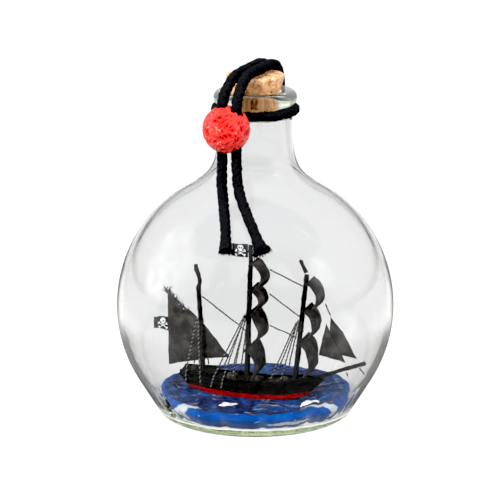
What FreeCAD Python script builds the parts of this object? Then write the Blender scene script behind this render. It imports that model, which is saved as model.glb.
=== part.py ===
"""Ship in a bottle: a corked round glass bottle that holds a three-masted ship on a blue sea.

The origin is the centre of the base on the surface that the bottle stands on, +Z points up and
+X towards the ship's bow. Lengths are in millimetres and angles in degrees. The ship's own frame
has +X forward along the keel, +Y to port and +Z up from the table.
"""

import FreeCAD
import Part

import math
import os

import Sketcher
from FreeCAD import Placement, Rotation, Vector

DIMENSIONS = {
    # bottle
    "body_radius": 50.0,
    "body_centre_z": 39.8,
    "wall": 2.2,
    "base_thickness": 3.2,
    "punt_depth": 0.8,
    "punt_radius": 22.0,
    "foot_radius": 32.6,
    "foot_corner": 3.0,
    "inner_corner": 2.5,
    "shoulder_curve": 15.0,
    "neck_radius": 13.3,
    "neck_open_z": 108.2,
    "bore_radius": 8.6,
    "bore_low_z": 111.5,
    "collar_radius": 12.4,
    "collar_low_z": 109.0,
    "collar_step": 1.2,
    "lip_low_z": 113.65,
    "lip_radius": 15.0,
    "lip_top_z": 118.8,
    "mouth_curve": 1.8,
    # cork
    "cork_plug_radius": 8.1,
    "cork_mouth_radius": 8.5,
    "cork_top_radius": 10.4,
    "cork_bottom_z": 109.2,
    "cork_top_z": 124.6,
    "cork_edge": 0.6,
    "cork_swell": 0.4,
    "cork_flare_height": 1.4,
    # cords and bead
    "ring_cord_radius": 1.6,
    "ring_radius": 14.05,
    "ring_z": 111.9,
    "hitch_gap": 0.1,
    "hitch_clearance": 0.08,
    "hitch_start": -70.0,
    "hitch_sweep": 85.0,
    "tie_cord_radius": 1.85,
    "tie_angle": 65.0,
    "tie_pivot_reach": 17.2,
    "tie_pivot_z": 114.9,
    "tie_top_z": 127.2,
    "tie_front_turn_z": 120.4,
    "tie_back_turn_z": 121.8,
    "tie_front_reach": 13.8,
    "tie_back_reach": 11.5,
    "bight_gap": 0.1,
    "bead_radius": 8.5,
    "bead_reach": 24.1,
    "bead_z": 109.2,
    "bead_bore_radius": 2.05,
    "left_strand_offset": -1.6,
    "right_strand_offset": 3.9,
    "tail_gap": 0.1,
    # sea
    "sea_foot_radius": 31.8,
    "sea_rim_radius": 35.2,
    "sea_rim_z": 9.4,
    "sea_middle_z": 6.2,
    "sea_rim_curve": 2.0,
    "sea_rim_width": 1.4,
    "sea_rim_height": 2.2,
    # ship
    "ship_x": -2.6,
    "ship_y": -3.9,
    "ship_yaw": -17.0,
    "deck_z": 13.6,
    "quarterdeck_rise": 1.4,
    "mast_radius": 0.9,
    "topmast_radius": 0.6,
    "broken_end_radius": 0.4,
    "bowsprit_radius": 0.75,
    "bowsprit_tip_radius": 0.6,
    "yard_radius": 0.4,
    "yard_overhang": 1.0,
    "rig_gap": 0.05,
    "sail_rake": 1.55,
    "sail_thickness": 0.3,
    "thread_radius": 0.17,
}

PRINTED = "radii of {}: {} mm"


def make_sheet(doc):
    """The spreadsheet that holds every driving dimension, one alias a row."""
    sheet = doc.addObject("Spreadsheet::Sheet", "dims")
    for row, (alias, size) in enumerate(DIMENSIONS.items(), start=1):
        sheet.set(f"A{row}", alias)
        sheet.set(f"B{row}", str(size))
        sheet.setAlias(f"B{row}", alias)
    doc.recompute()
    return sheet


document = FreeCAD.newDocument("ship_in_a_bottle")
dims = make_sheet(document)


def size(alias):
    """A driving dimension as a plain number."""
    return float(dims.get(alias))


def number(expression):
    """The value of an expression of driving dimensions."""
    return float(dims.evalExpression(expression))


def new_body(name, place=None):
    """An empty PartDesign body whose Label is its node's name."""
    made = document.addObject("PartDesign::Body", name)
    made.Label = name
    if place is not None:
        made.Placement = place
    return made


def new_sketch(body, name, role, offset=0.0):
    """A sketch on one of the body's own origin planes, moved along that plane's normal."""
    plane = next(item for item in body.Origin.OriginFeatures if item.Role == role)
    made = body.newObject("Sketcher::SketchObject", name)
    made.AttachmentSupport = [(plane, "")]
    made.MapMode = "FlatFace"
    made.AttachmentOffset = Placement(Vector(0, 0, offset), Rotation())
    return made


def arc_between(start, end, radius, side):
    """The short arc from start to end. Its centre lies to the left of the chord for side 1."""
    chord = end - start
    middle = (start + end) * 0.5
    rise = math.sqrt(max(radius**2 - (chord.Length / 2) ** 2, 0.0))
    left = Vector(-chord.y, chord.x, 0).normalize()
    centre = middle + left * (rise * side)
    angles = [math.atan2(point.y - centre.y, point.x - centre.x) for point in (start, end)]
    first, last = angles if side > 0 else reversed(angles)
    return Part.ArcOfCircle(Part.Circle(centre, Vector(0, 0, 1), radius), first, last)


def draw_outline(sketch, corners, arcs=None):
    """Draws a closed outline whose corners are pairs of expressions.

    arcs gives the edges that are arcs: edge number -> (radius expression, side of the centre).
    """
    arcs = arcs or {}
    points = [Vector(number(x), number(y), 0) for x, y in corners]
    starts = []
    ends = []
    for edge, start in enumerate(points):
        end = points[(edge + 1) % len(points)]
        if edge in arcs:
            radius, side = arcs[edge]
            sketch.addGeometry(arc_between(start, end, number(radius), side))
            starts.append(1 if side > 0 else 2)
        else:
            sketch.addGeometry(Part.LineSegment(start, end))
            starts.append(1)
        ends.append(3 - starts[-1])
    for edge, (x, y) in enumerate(corners):
        following = (edge + 1) % len(corners)
        join = Sketcher.Constraint("Coincident", edge, ends[edge], following, starts[following])
        sketch.addConstraint(join)
        for kind, expression in (("DistanceX", x), ("DistanceY", y)):
            distance = Sketcher.Constraint(kind, -1, 1, edge, starts[edge], number(expression))
            index = sketch.addConstraint(distance)
            sketch.setExpression(f"Constraints[{index}]", expression)
    for edge, (radius, _) in arcs.items():
        index = sketch.addConstraint(Sketcher.Constraint("Radius", edge, number(radius)))
        sketch.setExpression(f"Constraints[{index}]", radius)


def revolve(body, sketch, name):
    """Turns a half section all the way round the body's Z axis."""
    turned = body.newObject("PartDesign::Revolution", name)
    turned.Profile = sketch
    turned.ReferenceAxis = (sketch, ["V_Axis"])
    turned.Angle = 360.0
    return turned


def pad(body, sketch, name, length):
    """A pad of half the length to each side of its sketch."""
    raised = body.newObject("PartDesign::Pad", name)
    raised.Profile = sketch
    raised.Midplane = True
    raised.setExpression("Length", length)
    return raised


def primitive(kind, name, place=None, **expressions):
    """A Part primitive whose sizes are expressions of driving dimensions."""
    made = document.addObject(kind, name)
    made.Label = name
    for prop, expression in expressions.items():
        made.setExpression(prop, expression)
    if place is not None:
        made.Placement = place
    return made


def boolean(kind, name, base, tool):
    """A Part::Cut or Part::Common of two objects of the document."""
    made = document.addObject(kind, name)
    made.Label = name
    made.Base = base
    made.Tool = tool
    return made


def plain_shape(name, shape, place=None):
    """A Part::Feature for a swept or grouped shape."""
    made = document.addObject("Part::Feature", name)
    made.Label = name
    made.Shape = shape
    if place is not None:
        made.Placement = place
    return made


# ---------------------------------------------------------------- bottle


def tangent_line(low_centre, low_radius, high_centre, high_radius):
    """Where a straight wall touches a small low circle and a large high circle, both inside."""
    between = high_centre - low_centre
    lean = math.asin((high_radius - low_radius) / between.Length)
    heading = math.atan2(between.y, between.x) - math.pi / 2 + lean
    outward = Vector(math.cos(heading), math.sin(heading), 0)
    return low_centre + outward * low_radius, high_centre + outward * high_radius


class GlassSection:
    """Draws the bottle's half section as a chain of edges and ties neighbours together."""

    def __init__(self, sketch):
        self.sketch = sketch
        self.edges = []

    def line(self, start, end):
        self.edges.append((self.sketch.addGeometry(Part.LineSegment(start, end)), 1, 2))

    def arc(self, centre, start, end, clockwise=False):
        """An arc from start to end about centre, anticlockwise unless it says otherwise."""
        first, last = (end, start) if clockwise else (start, end)
        angles = [math.atan2(p.y - centre.y, p.x - centre.x) for p in (first, last)]
        circle = Part.Circle(centre, Vector(0, 0, 1), (start - centre).Length)
        index = self.sketch.addGeometry(Part.ArcOfCircle(circle, angles[0], angles[1]))
        self.edges.append((index, 2, 1) if clockwise else (index, 1, 2))

    def join(self, edge, kind):
        """Coincident or Tangent, between an edge's end and the next edge's start."""
        here = self.edges[edge]
        there = self.edges[(edge + 1) % len(self.edges)]
        self.sketch.addConstraint(Sketcher.Constraint(kind, here[0], here[2], there[0], there[1]))

    def hold(self, kind, edge, expression, at=None):
        """A size of one edge, or a coordinate of its start (at=1), end (2) or centre (3)."""
        index, start, end = self.edges[edge]
        if at is None:
            made = Sketcher.Constraint(kind, index, number(expression))
        else:
            vertex = {1: start, 2: end, 3: 3}[at]
            made = Sketcher.Constraint(kind, -1, 1, index, vertex, number(expression))
        position = self.sketch.addConstraint(made)
        self.sketch.setExpression(f"Constraints[{position}]", expression)


def make_bottle():
    """The blown glass: flat foot, straight lower wall, round body, neck, collar and thick lip."""
    radius, wall, floor = size("body_radius"), size("wall"), size("base_thickness")
    corner, foot = size("foot_corner"), size("foot_radius")
    neck, bore = size("neck_radius"), size("bore_radius")
    shoulder = size("shoulder_curve")
    top, mouth = size("lip_top_z"), size("mouth_curve")
    centre = Vector(0, size("body_centre_z"), 0)
    inner_corner = size("inner_corner")
    corner_centre = Vector(foot, corner, 0)
    low, high = tangent_line(corner_centre, corner, centre, radius)
    wall_way = (high - low).normalize()
    inside = Vector(-wall_way.y, wall_way.x, 0)
    inner_high = centre - inside * (radius - wall)
    inner_corner_y = floor + inner_corner
    slide = (inner_corner_y - (inner_high + inside * inner_corner).y) / wall_way.y
    inner_low = inner_high + wall_way * slide
    inner_centre = inner_low + inside * inner_corner

    def shoulder_points(body, tube, curve):
        rise = math.sqrt((body + curve) ** 2 - (tube + curve) ** 2)
        middle = centre + Vector(tube + curve, rise, 0)
        touch = centre + (middle - centre) * (body / (body + curve))
        return middle, touch, Vector(tube, middle.y, 0)

    outer_mid, outer_touch, outer_neck = shoulder_points(radius, neck, shoulder)
    inner_mid, inner_touch, inner_neck = shoulder_points(radius - wall, neck - wall, shoulder + wall)
    bore_low, neck_open = size("bore_low_z"), size("neck_open_z")
    collar, collar_low = size("collar_radius"), size("collar_low_z")
    collar_foot = collar_low + size("collar_step")
    lip, lip_low = size("lip_radius"), size("lip_low_z")
    lip_curve = (top - lip_low) / 2
    lip_centre = Vector(lip - lip_curve, lip_low + lip_curve, 0)

    body = new_body("glass_bottle")
    section = GlassSection(new_sketch(body, "bottle_section", "XZ_Plane"))
    at = Vector
    section.line(at(0, size("punt_depth"), 0), at(size("punt_radius"), 0, 0))
    section.line(at(size("punt_radius"), 0, 0), at(foot, 0, 0))
    section.arc(corner_centre, at(foot, 0, 0), low)
    section.line(low, high)
    section.arc(centre, high, outer_touch)
    section.arc(outer_mid, outer_touch, outer_neck, clockwise=True)
    section.line(outer_neck, at(neck, collar_low, 0))
    section.line(at(neck, collar_low, 0), at(collar, collar_foot, 0))
    section.line(at(collar, collar_foot, 0), at(collar, lip_low, 0))
    section.line(at(collar, lip_low, 0), at(lip_centre.x, lip_low, 0))
    section.arc(lip_centre, at(lip_centre.x, lip_low, 0), at(lip_centre.x, top, 0))
    section.line(at(lip_centre.x, top, 0), at(bore + mouth, top, 0))
    section.arc(at(bore + mouth, top - mouth, 0), at(bore + mouth, top, 0), at(bore, top - mouth, 0))
    section.line(at(bore, top - mouth, 0), at(bore, bore_low, 0))
    section.line(at(bore, bore_low, 0), at(neck - wall, neck_open, 0))
    section.line(at(neck - wall, neck_open, 0), inner_neck)
    section.arc(inner_mid, inner_neck, inner_touch)
    section.arc(centre, inner_touch, inner_high, clockwise=True)
    section.line(inner_high, inner_low)
    section.arc(inner_centre, inner_low, at(inner_centre.x, floor, 0), clockwise=True)
    section.line(at(inner_centre.x, floor, 0), at(0, floor, 0))
    section.line(at(0, floor, 0), at(0, size("punt_depth"), 0))

    smooth = {1, 2, 3, 4, 5, 9, 10, 11, 12, 15, 16, 17, 18, 19}
    for edge in range(len(section.edges)):
        section.join(edge, "Tangent" if edge in smooth else "Coincident")
    for edge, x, y in (
        (0, "0", "dims.punt_depth"),
        (1, "dims.punt_radius", "0"),
        (7, "dims.neck_radius", "dims.collar_low_z"),
        (8, "dims.collar_radius", "dims.collar_low_z + dims.collar_step"),
        (9, "dims.collar_radius", "dims.lip_low_z"),
        (14, "dims.bore_radius", "dims.bore_low_z"),
        (15, "dims.neck_radius - dims.wall", "dims.neck_open_z"),
        (21, "0", "dims.base_thickness"),
    ):
        section.hold("DistanceX", edge, x, at=1)
        section.hold("DistanceY", edge, y, at=1)
    section.hold("DistanceX", 2, "dims.foot_radius", at=1)
    section.hold("DistanceY", 2, "0", at=1)
    section.hold("Radius", 2, "dims.foot_corner")
    for edge, expression in ((4, "dims.body_radius"), (17, "dims.body_radius - dims.wall")):
        section.hold("Radius", edge, expression)
        section.hold("DistanceX", edge, "0", at=3)
        section.hold("DistanceY", edge, "dims.body_centre_z", at=3)
    section.hold("Radius", 5, "dims.shoulder_curve")
    section.hold("DistanceX", 6, "dims.neck_radius", at=1)
    section.hold("DistanceY", 11, "dims.lip_top_z", at=1)
    section.hold("Radius", 10, "(dims.lip_top_z - dims.lip_low_z) / 2")
    section.hold("DistanceX", 10, "dims.lip_radius - (dims.lip_top_z - dims.lip_low_z) / 2", at=3)
    section.hold("Radius", 12, "dims.mouth_curve")
    section.hold("DistanceX", 13, "dims.bore_radius", at=1)
    section.hold("DistanceX", 16, "dims.neck_radius - dims.wall", at=1)
    section.hold("Radius", 16, "dims.shoulder_curve + dims.wall")
    outer_wall, inner_wall = section.edges[3][0], section.edges[18][0]
    section.sketch.addConstraint(Sketcher.Constraint("Parallel", outer_wall, inner_wall))
    section.hold("Radius", 19, "dims.inner_corner")
    section.hold("DistanceY", 20, "dims.base_thickness", at=1)
    revolve(body, section.sketch, "bottle_turn")
    return body


def make_cork():
    """A cork squeezed slim inside the neck and swollen above the lip."""
    body = new_body("cork_stopper")
    sketch = new_sketch(body, "cork_section", "XZ_Plane")
    corners = [
        ("0", "dims.cork_bottom_z"),
        ("dims.cork_plug_radius", "dims.cork_bottom_z"),
        ("dims.cork_mouth_radius", "dims.lip_top_z - dims.mouth_curve"),
        ("dims.cork_mouth_radius + dims.cork_swell", "dims.lip_top_z"),
        ("dims.cork_top_radius", "dims.cork_top_z - dims.cork_flare_height"),
        ("dims.cork_top_radius", "dims.cork_top_z - dims.cork_edge"),
        ("dims.cork_top_radius - dims.cork_edge", "dims.cork_top_z"),
        ("0", "dims.cork_top_z"),
    ]
    draw_outline(sketch, corners)
    revolve(body, sketch, "cork_turn")
    return body


# ---------------------------------------------------------------- cords and bead


BEND_SHARE = 0.45


def bend_radii(points):
    """Each corner's arc radius, so that its arc takes up the bend share of its shorter run."""
    radii = []
    for before, corner, after in zip(points, points[1:], points[2:]):
        turn = (corner - before).getAngle(after - corner)
        shorter = min((corner - before).Length, (after - corner).Length)
        radii.append(BEND_SHARE * shorter / math.tan(turn / 2))
    return radii


def rounded_route(points, radii):
    """A wire of straight runs joined by tangent arcs."""
    edges = []
    here = points[0]
    for before, corner, after, radius in zip(points, points[1:], points[2:], radii):
        incoming = (corner - before).normalize()
        outgoing = (after - corner).normalize()
        turn = incoming.getAngle(outgoing)
        reach = radius * math.tan(turn / 2)
        start = corner - incoming * reach
        end = corner + outgoing * reach
        inward = (outgoing - incoming).normalize()
        middle = corner + inward * (radius / math.cos(turn / 2) - radius)
        edges.append(Part.LineSegment(here, start).toShape())
        edges.append(Part.Arc(start, middle, end).toShape())
        here = end
    edges.append(Part.LineSegment(here, points[-1]).toShape())
    return Part.Wire(edges)


def cord_tube(route, radius):
    """A round tube along a route, with its volume compared with section times length."""
    start = route.Edges[0].Vertexes[0].Point
    heading = (route.Edges[0].Vertexes[1].Point - start).normalize()
    section = Part.Wire([Part.Circle(start, heading, radius).toShape()])
    tube = route.makePipeShell([section], True, False)
    expected = math.pi * radius**2 * route.Length
    if abs(tube.Volume - expected) > 0.01 * expected:
        raise RuntimeError(f"cord tube volume {tube.Volume:.1f}, expected {expected:.1f}")
    return tube


def tie_point(reach, offset, height):
    """A point in the upright plane of the tie: reach is towards the back of the neck."""
    angle = math.radians(size("tie_angle"))
    along = Vector(math.cos(angle), math.sin(angle), 0)
    across = Vector(math.sin(angle), -math.cos(angle), 0)
    return along * reach + across * offset + Vector(0, 0, height)


def bead_low_end(offset):
    """The height where a strand leaves the bead's underside."""
    return size("bead_z") - math.sqrt(size("bead_radius") ** 2 - offset**2)


# each strand's offsets to the right of the tie's middle: over the cork and behind the neck
STRANDS = {"left": (-1.3, -1.95), "right": (2.9, 1.95)}
STRAND_BENDS = (5.2, 16.0, 12.0, 6.0)


def make_tie_strand(side):
    """A strand from under the bead, over the cork, to its half of the bight behind the neck."""
    name, at_bead = f"tie_cord_{side}", size(f"{side}_strand_offset")
    at_cork, at_back = STRANDS[side]
    reach, top = -size("bead_reach"), size("tie_top_z")
    back, pivot = size("tie_pivot_reach"), size("tie_pivot_z")
    points = [
        tie_point(reach, at_bead, bead_low_end(at_bead)),
        tie_point(reach, at_bead, size("tie_front_turn_z")),
        tie_point(-size("tie_front_reach"), at_cork, top),
        tie_point(size("tie_back_reach"), at_back, top),
        tie_point(back, at_back, size("tie_back_turn_z")),
        tie_point(back, at_back, pivot),
    ]
    route = rounded_route(points, STRAND_BENDS)
    radius = size("tie_cord_radius")
    tube = cord_tube(route, radius)
    rounded_end = Part.makeSphere(radius, points[-1])
    inward = tie_point(0, -math.copysign(1, at_back), 0)
    half_bight = abs(at_back) - size("bight_gap") / 2
    bight = Part.makeCylinder(radius, half_bight, points[-1], inward)
    return plain_shape(name, tube.fuse([rounded_end, bight]).removeSplitter())


def make_bead():
    """A round bead with one bore for each strand."""
    place = Placement(tie_point(-size("bead_reach"), 0, size("bead_z")), Rotation())
    ball = primitive("Part::Sphere", "bead_ball", place, Radius="dims.bead_radius")
    for side in ("left", "right"):
        offset = size(f"{side}_strand_offset")
        low = tie_point(-size("bead_reach"), offset, size("bead_z") - size("bead_radius") - 1)
        bore = primitive(
            "Part::Cylinder",
            f"bead_bore_{side}",
            Placement(low, Rotation()),
            Radius="dims.bead_bore_radius",
            Height="2 * dims.bead_radius + 2",
        )
        ball = boolean("Part::Cut", f"bead_{side}_drilled", ball, bore)
    ball.Label = "bead"
    return ball


def make_neck_ring():
    """The cord tied round the collar under the lip."""
    place = Placement(Vector(0, 0, size("ring_z")), Rotation())
    sizes = {"Radius1": "dims.ring_radius", "Radius2": "dims.ring_cord_radius"}
    return primitive("Part::Torus", "neck_cord_ring", place, **sizes)


def make_hitch():
    """The two short turns by which the tie cord grips the neck ring at the back."""
    cord = size("ring_cord_radius")
    turn_radius = 2 * cord + size("hitch_clearance")
    up = Vector(0, 0, 1)
    turns = []
    for side in (-1, 1):
        offset = side * (cord + size("hitch_gap"))
        centre = tie_point(size("ring_radius"), offset, size("ring_z"))
        turn = Part.makeTorus(turn_radius, cord, Vector(), up, -180, 180, size("hitch_sweep"))
        turn.Placement = Placement(Vector(), Rotation(up, size("hitch_start")))
        upright = Placement(Vector(), Rotation(Vector(1, 0, 0), 90))
        facing = Placement(centre, Rotation(up, size("tie_angle")))
        turn.Placement = facing.multiply(upright).multiply(turn.Placement)
        turns.append(turn)
    return plain_shape("cord_hitch", Part.makeCompound(turns))


# ---------------------------------------------------------------- sea and ship


def ship_place():
    """Where the ship's own frame stands in the bottle."""
    spot = Vector(size("ship_x"), size("ship_y"), 0)
    return Placement(spot, Rotation(Vector(0, 0, 1), size("ship_yaw")))


SHIP = ship_place()

# station along the keel, half beam, keel height and rail height above the deck level
STATIONS = (
    (-25.6, 3.1, 12.7, 0.0),
    (-22.3, 4.1, 8.6, 0.0),
    (-17.0, 4.8, 6.9, 0.0),
    (-10.0, 5.2, 5.7, 0.0),
    (0.0, 5.3, 5.3, 0.0),
    (8.0, 5.0, 5.4, 0.0),
    (15.0, 4.1, 6.3, 0.8),
    (20.0, 2.9, 7.7, 1.6),
    (24.2, 1.5, 10.3, 2.1),
    (28.2, 0.35, 14.6, 2.4),
)

MAIN_FOOT, MAIN_TOP = (-0.4, 13.6), (1.1, 62.7)
FORE_FOOT, FORE_TOP = (17.6, 14.6), (21.9, 53.5)
MIZZEN_FOOT, MIZZEN_TOP = (-17.0, 15.0), (-19.1, 54.2)
BOWSPRIT_FOOT, BOWSPRIT_TOP = (24.9, 15.1), (43.4, 22.7)
BROKEN_FOOT, BROKEN_TOP = (21.7, 54.25), (19.4, 58.6)
MAST_STEP = 1.6

# a frame's beam at the turn of the bilge, and the bilge's most depth by beam and by height
BILGE_BEAM, BILGE_BY_BEAM, BILGE_BY_HEIGHT = 0.94, 0.8, 0.6

# name, mast foot and top, height of the yard, drop to the foot, width and depth of belly
SQUARE_SAILS = (
    ("main_course", MAIN_FOOT, MAIN_TOP, 25.8, 10.6, 16.0, 2.6),
    ("main_topsail", MAIN_FOOT, MAIN_TOP, 38.6, 10.2, 14.0, 3.6),
    ("main_topgallant_sail", MAIN_FOOT, MAIN_TOP, 47.2, 7.4, 11.5, 3.0),
    ("main_royal", MAIN_FOOT, MAIN_TOP, 56.6, 8.4, 10.0, 3.8),
    ("fore_course", FORE_FOOT, FORE_TOP, 29.4, 12.0, 14.5, 4.0),
    ("fore_topsail", FORE_FOOT, FORE_TOP, 41.0, 9.2, 12.5, 3.6),
    ("fore_topgallant_sail", FORE_FOOT, FORE_TOP, 51.0, 8.6, 10.5, 3.6),
)


# name, corners along and up, and offset to port of the centre plane
FLAT_SAILS = (
    ("mizzen_sail", [(-31.2, 43.4), (-17.4, 32.0), (-7.4, 19.8), (-16.3, 18.6), (-31.0, 14.8)], 1.35),
    ("inner_jib", [(29.4, 36.2), (26.7, 24.4), (36.6, 22.4)], -0.9),
    ("outer_jib", [(30.6, 38.6), (30.2, 25.6), (40.4, 24.0), (35.4, 33.2)], 0.0),
    ("stern_flag", [(-36.6, 32.8), (-36.9, 28.4), (-31.2, 27.9), (-31.2, 33.1)], 1.8),
    ("main_flag", [(-6.0, 62.9), (-6.2, 58.4), (-0.1, 58.2), (-0.1, 63.0)], 0.0),
)

# threads of the starboard side, each from its upper to its lower end
SHROUDS = {
    "main_shrouds": [
        ((-0.9, -1.3, 37.2), (-11.4, -5.65, 13.9)),
        ((-11.5, -5.55, 13.5), (-12.6, -5.4, 9.8)),
        ((-0.6, -1.3, 37.2), (-7.8, -5.7, 13.9)),
        ((-7.9, -5.6, 13.5), (-8.6, -5.5, 9.8)),
        ((-0.3, -1.3, 37.0), (-4.4, -5.0, 13.9)),
    ],
    "fore_shrouds": [
        ((18.5, -1.3, 36.0), (9.6, -4.7, 14.4)),
        ((18.8, -1.3, 35.8), (13.6, -4.2, 14.9)),
    ],
    "mizzen_shrouds": [
        ((-18.9, -1.9, 34.5), (-22.2, -4.6, 15.3)),
        ((-22.3, -4.5, 14.9), (-22.6, -4.4, 10.6)),
        ((-18.4, -1.9, 34.5), (-16.8, -5.2, 15.3)),
        ((-16.8, -5.1, 14.9), (-16.6, -5.1, 10.6)),
    ],
}
STAYS = {
    "mast_stays": [
        ((-17.4, 0.0, 42.4), (-0.9, 0.0, 30.9)),
        ((8.1, 0.0, 54.4), (20.6, 0.0, 49.0)),
        ((8.0, 0.0, 45.4), (19.2, 0.0, 37.8)),
        ((8.2, 0.0, 33.6), (18.3, 0.0, 29.9)),
    ],
    "jib_stays": [
        ((28.9, 0.0, 43.2), (30.7, 0.0, 39.1)),
        ((41.3, 0.0, 20.8), (43.0, 0.0, 18.6)),
        ((36.9, -0.9, 18.9), (37.6, -0.9, 17.4)),
    ],
}


def hull_section(body, station, half_beam, keel, rise):
    """One frame of the hull: flat deck, flared topside and round bottom."""
    sketch = new_sketch(body, "frame", "YZ_Plane", station)
    low_beam = BILGE_BEAM * half_beam
    height = size("deck_z") + rise - keel
    depth = min(BILGE_BY_BEAM * half_beam, BILGE_BY_HEIGHT * height)
    radius = (low_beam**2 + depth**2) / (2 * depth)
    deck = f"dims.deck_z + {rise}"
    corners = [
        (f"{half_beam}", deck),
        (f"-{half_beam}", deck),
        (f"-{low_beam}", f"{keel + depth}"),
        (f"{low_beam}", f"{keel + depth}"),
    ]
    draw_outline(sketch, corners, {2: (f"{radius}", 1)})
    return sketch


def spar_between(name, foot, top, radius_foot, radius_top):
    """A tapered round spar in the ship's centre plane."""
    start = Vector(foot[0], 0, foot[1])
    way = Vector(top[0], 0, top[1]) - start
    turn = Rotation(Vector(0, 0, 1), way)
    made = primitive(
        "Part::Cone",
        name,
        SHIP.multiply(Placement(start, turn)),
        Radius1=radius_foot,
        Radius2=radius_top,
    )
    made.Height = way.Length
    return made


def on_mast(foot, top, height):
    """How far forward the mast's axis is at a height."""
    return foot[0] + (top[0] - foot[0]) * (height - foot[1]) / (top[1] - foot[1])


def make_hull(masts):
    """The carved hull, drilled for the masts and the bowsprit."""
    body = new_body("hull_carving", SHIP)
    frames = [hull_section(body, *station) for station in STATIONS]
    loft = body.newObject("PartDesign::AdditiveLoft", "hull_loft")
    loft.Profile = frames[0]
    loft.Sections = frames[1:]
    loft.Ruled = True
    hull = body
    for spar in masts:
        hull = boolean("Part::Cut", f"hull_for_{spar.Name}", hull, spar)
    hull.Label = "hull"
    return hull


def make_quarterdeck(mast):
    """The raised deck aft, drilled for the mizzen mast."""
    body = new_body("quarterdeck_slab", SHIP)
    sketch = new_sketch(body, "quarterdeck_plan", "XY_Plane", size("deck_z"))
    edge = [(-25.4, 3.0), (-22.3, 3.95), (-17.0, 4.65), (-12.4, 5.0)]
    corners = [(f"{x}", f"{y}") for x, y in edge]
    corners += [(f"{x}", f"-{y}") for x, y in reversed(edge)]
    draw_outline(sketch, corners)
    slab = body.newObject("PartDesign::Pad", "quarterdeck_pad")
    slab.Profile = sketch
    slab.setExpression("Length", "dims.quarterdeck_rise")
    return boolean("Part::Cut", "quarterdeck", body, mast)


def make_sea(hull):
    """The moulded sea: it rises to a rim at the glass and takes the hull's print."""
    body = new_body("sea_mass")
    sketch = new_sketch(body, "sea_section", "XZ_Plane")
    corners = [
        ("0", "dims.base_thickness"),
        ("dims.sea_foot_radius", "dims.base_thickness"),
        ("dims.sea_rim_radius", "dims.sea_rim_z - dims.sea_rim_height"),
        ("dims.sea_rim_radius - dims.sea_rim_width", "dims.sea_rim_z"),
        ("0", "dims.sea_middle_z"),
    ]
    reach = "(dims.sea_rim_radius - dims.sea_rim_width)"
    drop = "(dims.sea_rim_z - dims.sea_middle_z)"
    dish_radius = f"({reach}^2 + {drop}^2) / (2 * {drop})"
    draw_outline(sketch, corners, {2: ("dims.sea_rim_curve", 1), 3: (dish_radius, -1)})
    revolve(body, sketch, "sea_turn")
    return boolean("Part::Cut", "sea", body, hull)


def make_square_sail(name, foot, top, yard_z, drop, width, belly):
    """A square sail that fills forward of its mast, and the yard that it hangs from."""
    thickness, yard = size("sail_thickness"), size("yard_radius")
    mast = on_mast(foot, top, yard_z)
    gap = size("rig_gap")
    yard_x = mast + size("mast_radius") + yard + gap
    yard_name = f"{name.replace('_sail', '')}_yard"
    across = Rotation(Vector(1, 0, 0), 90)
    length = width + 2 * size("yard_overhang")
    place = Placement(Vector(yard_x, length / 2, yard_z), across)
    spar = primitive("Part::Cylinder", yard_name, SHIP.multiply(place), Radius="dims.yard_radius")
    spar.Height = length

    body = new_body(name, SHIP)
    sketch = new_sketch(body, f"{name}_curve", "XZ_Plane")
    head = (yard_x + yard + gap, yard_z)
    low = (head[0] + size("sail_rake"), yard_z - drop)
    chord = math.hypot(low[0] - head[0], drop)
    radius = (chord**2 / 4 + belly**2) / (2 * belly)
    corners = [
        (f"{head[0]} + dims.sail_thickness", f"{head[1]}"),
        (f"{head[0]}", f"{head[1]}"),
        (f"{low[0]}", f"{low[1]}"),
        (f"{low[0]} + dims.sail_thickness", f"{low[1]}"),
    ]
    draw_outline(sketch, corners, {1: (f"{radius}", -1), 3: (f"{radius}", 1)})
    pad(body, sketch, f"{name}_pad", f"{width}")
    return spar, body


def make_flat_sail(name, outline, across):
    """A fore-and-aft sail or a flag: a thin flat sheet beside the centre plane."""
    body = new_body(name, SHIP)
    sketch = new_sketch(body, f"{name}_plan", "XZ_Plane", -across)
    draw_outline(sketch, [(f"{x}", f"{z}") for x, z in outline])
    pad(body, sketch, f"{name}_pad", "dims.sail_thickness")
    return body


def thread(start, end):
    """One thread of the rigging, pulled straight."""
    way = Vector(*end) - Vector(*start)
    return Part.makeCylinder(size("thread_radius"), way.Length, Vector(*start), way)


def make_threads(name, runs):
    """A group of threads, each given by its two ends in the ship's frame."""
    return plain_shape(name, Part.makeCompound([thread(*run) for run in runs]), SHIP)


def mirrored(run):
    """The same thread on the other side of the ship."""
    return tuple((x, -y, z) for x, y, z in run)


def make_ship():
    """Every piece of the ship, and the sea under it."""
    mast, topmast = "dims.mast_radius", "dims.topmast_radius"
    main_step = (MAIN_FOOT[0], MAIN_FOOT[1] - MAST_STEP)
    main = spar_between("main_mast", main_step, MAIN_TOP, mast, topmast)
    fore_step = (FORE_FOOT[0], FORE_FOOT[1] - MAST_STEP)
    fore = spar_between("fore_mast", fore_step, FORE_TOP, mast, topmast)
    mizzen_step = (MIZZEN_FOOT[0], MIZZEN_FOOT[1] - 2 * MAST_STEP)
    mizzen = spar_between("mizzen_mast", mizzen_step, MIZZEN_TOP, mast, topmast)
    thick, thin = "dims.bowsprit_radius", "dims.bowsprit_tip_radius"
    bowsprit = spar_between("bowsprit", BOWSPRIT_FOOT, BOWSPRIT_TOP, thick, thin)
    thin = "dims.broken_end_radius"
    broken = spar_between("fore_topmast", BROKEN_FOOT, BROKEN_TOP, topmast, thin)
    pieces = [main, fore, mizzen, bowsprit, broken]
    hull = make_hull([main, fore, mizzen, bowsprit])
    pieces += [hull, make_quarterdeck(mizzen), make_sea(hull)]
    for sail in SQUARE_SAILS:
        pieces += make_square_sail(*sail)
    pieces += [make_flat_sail(*sail) for sail in FLAT_SAILS]
    return pieces


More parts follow.
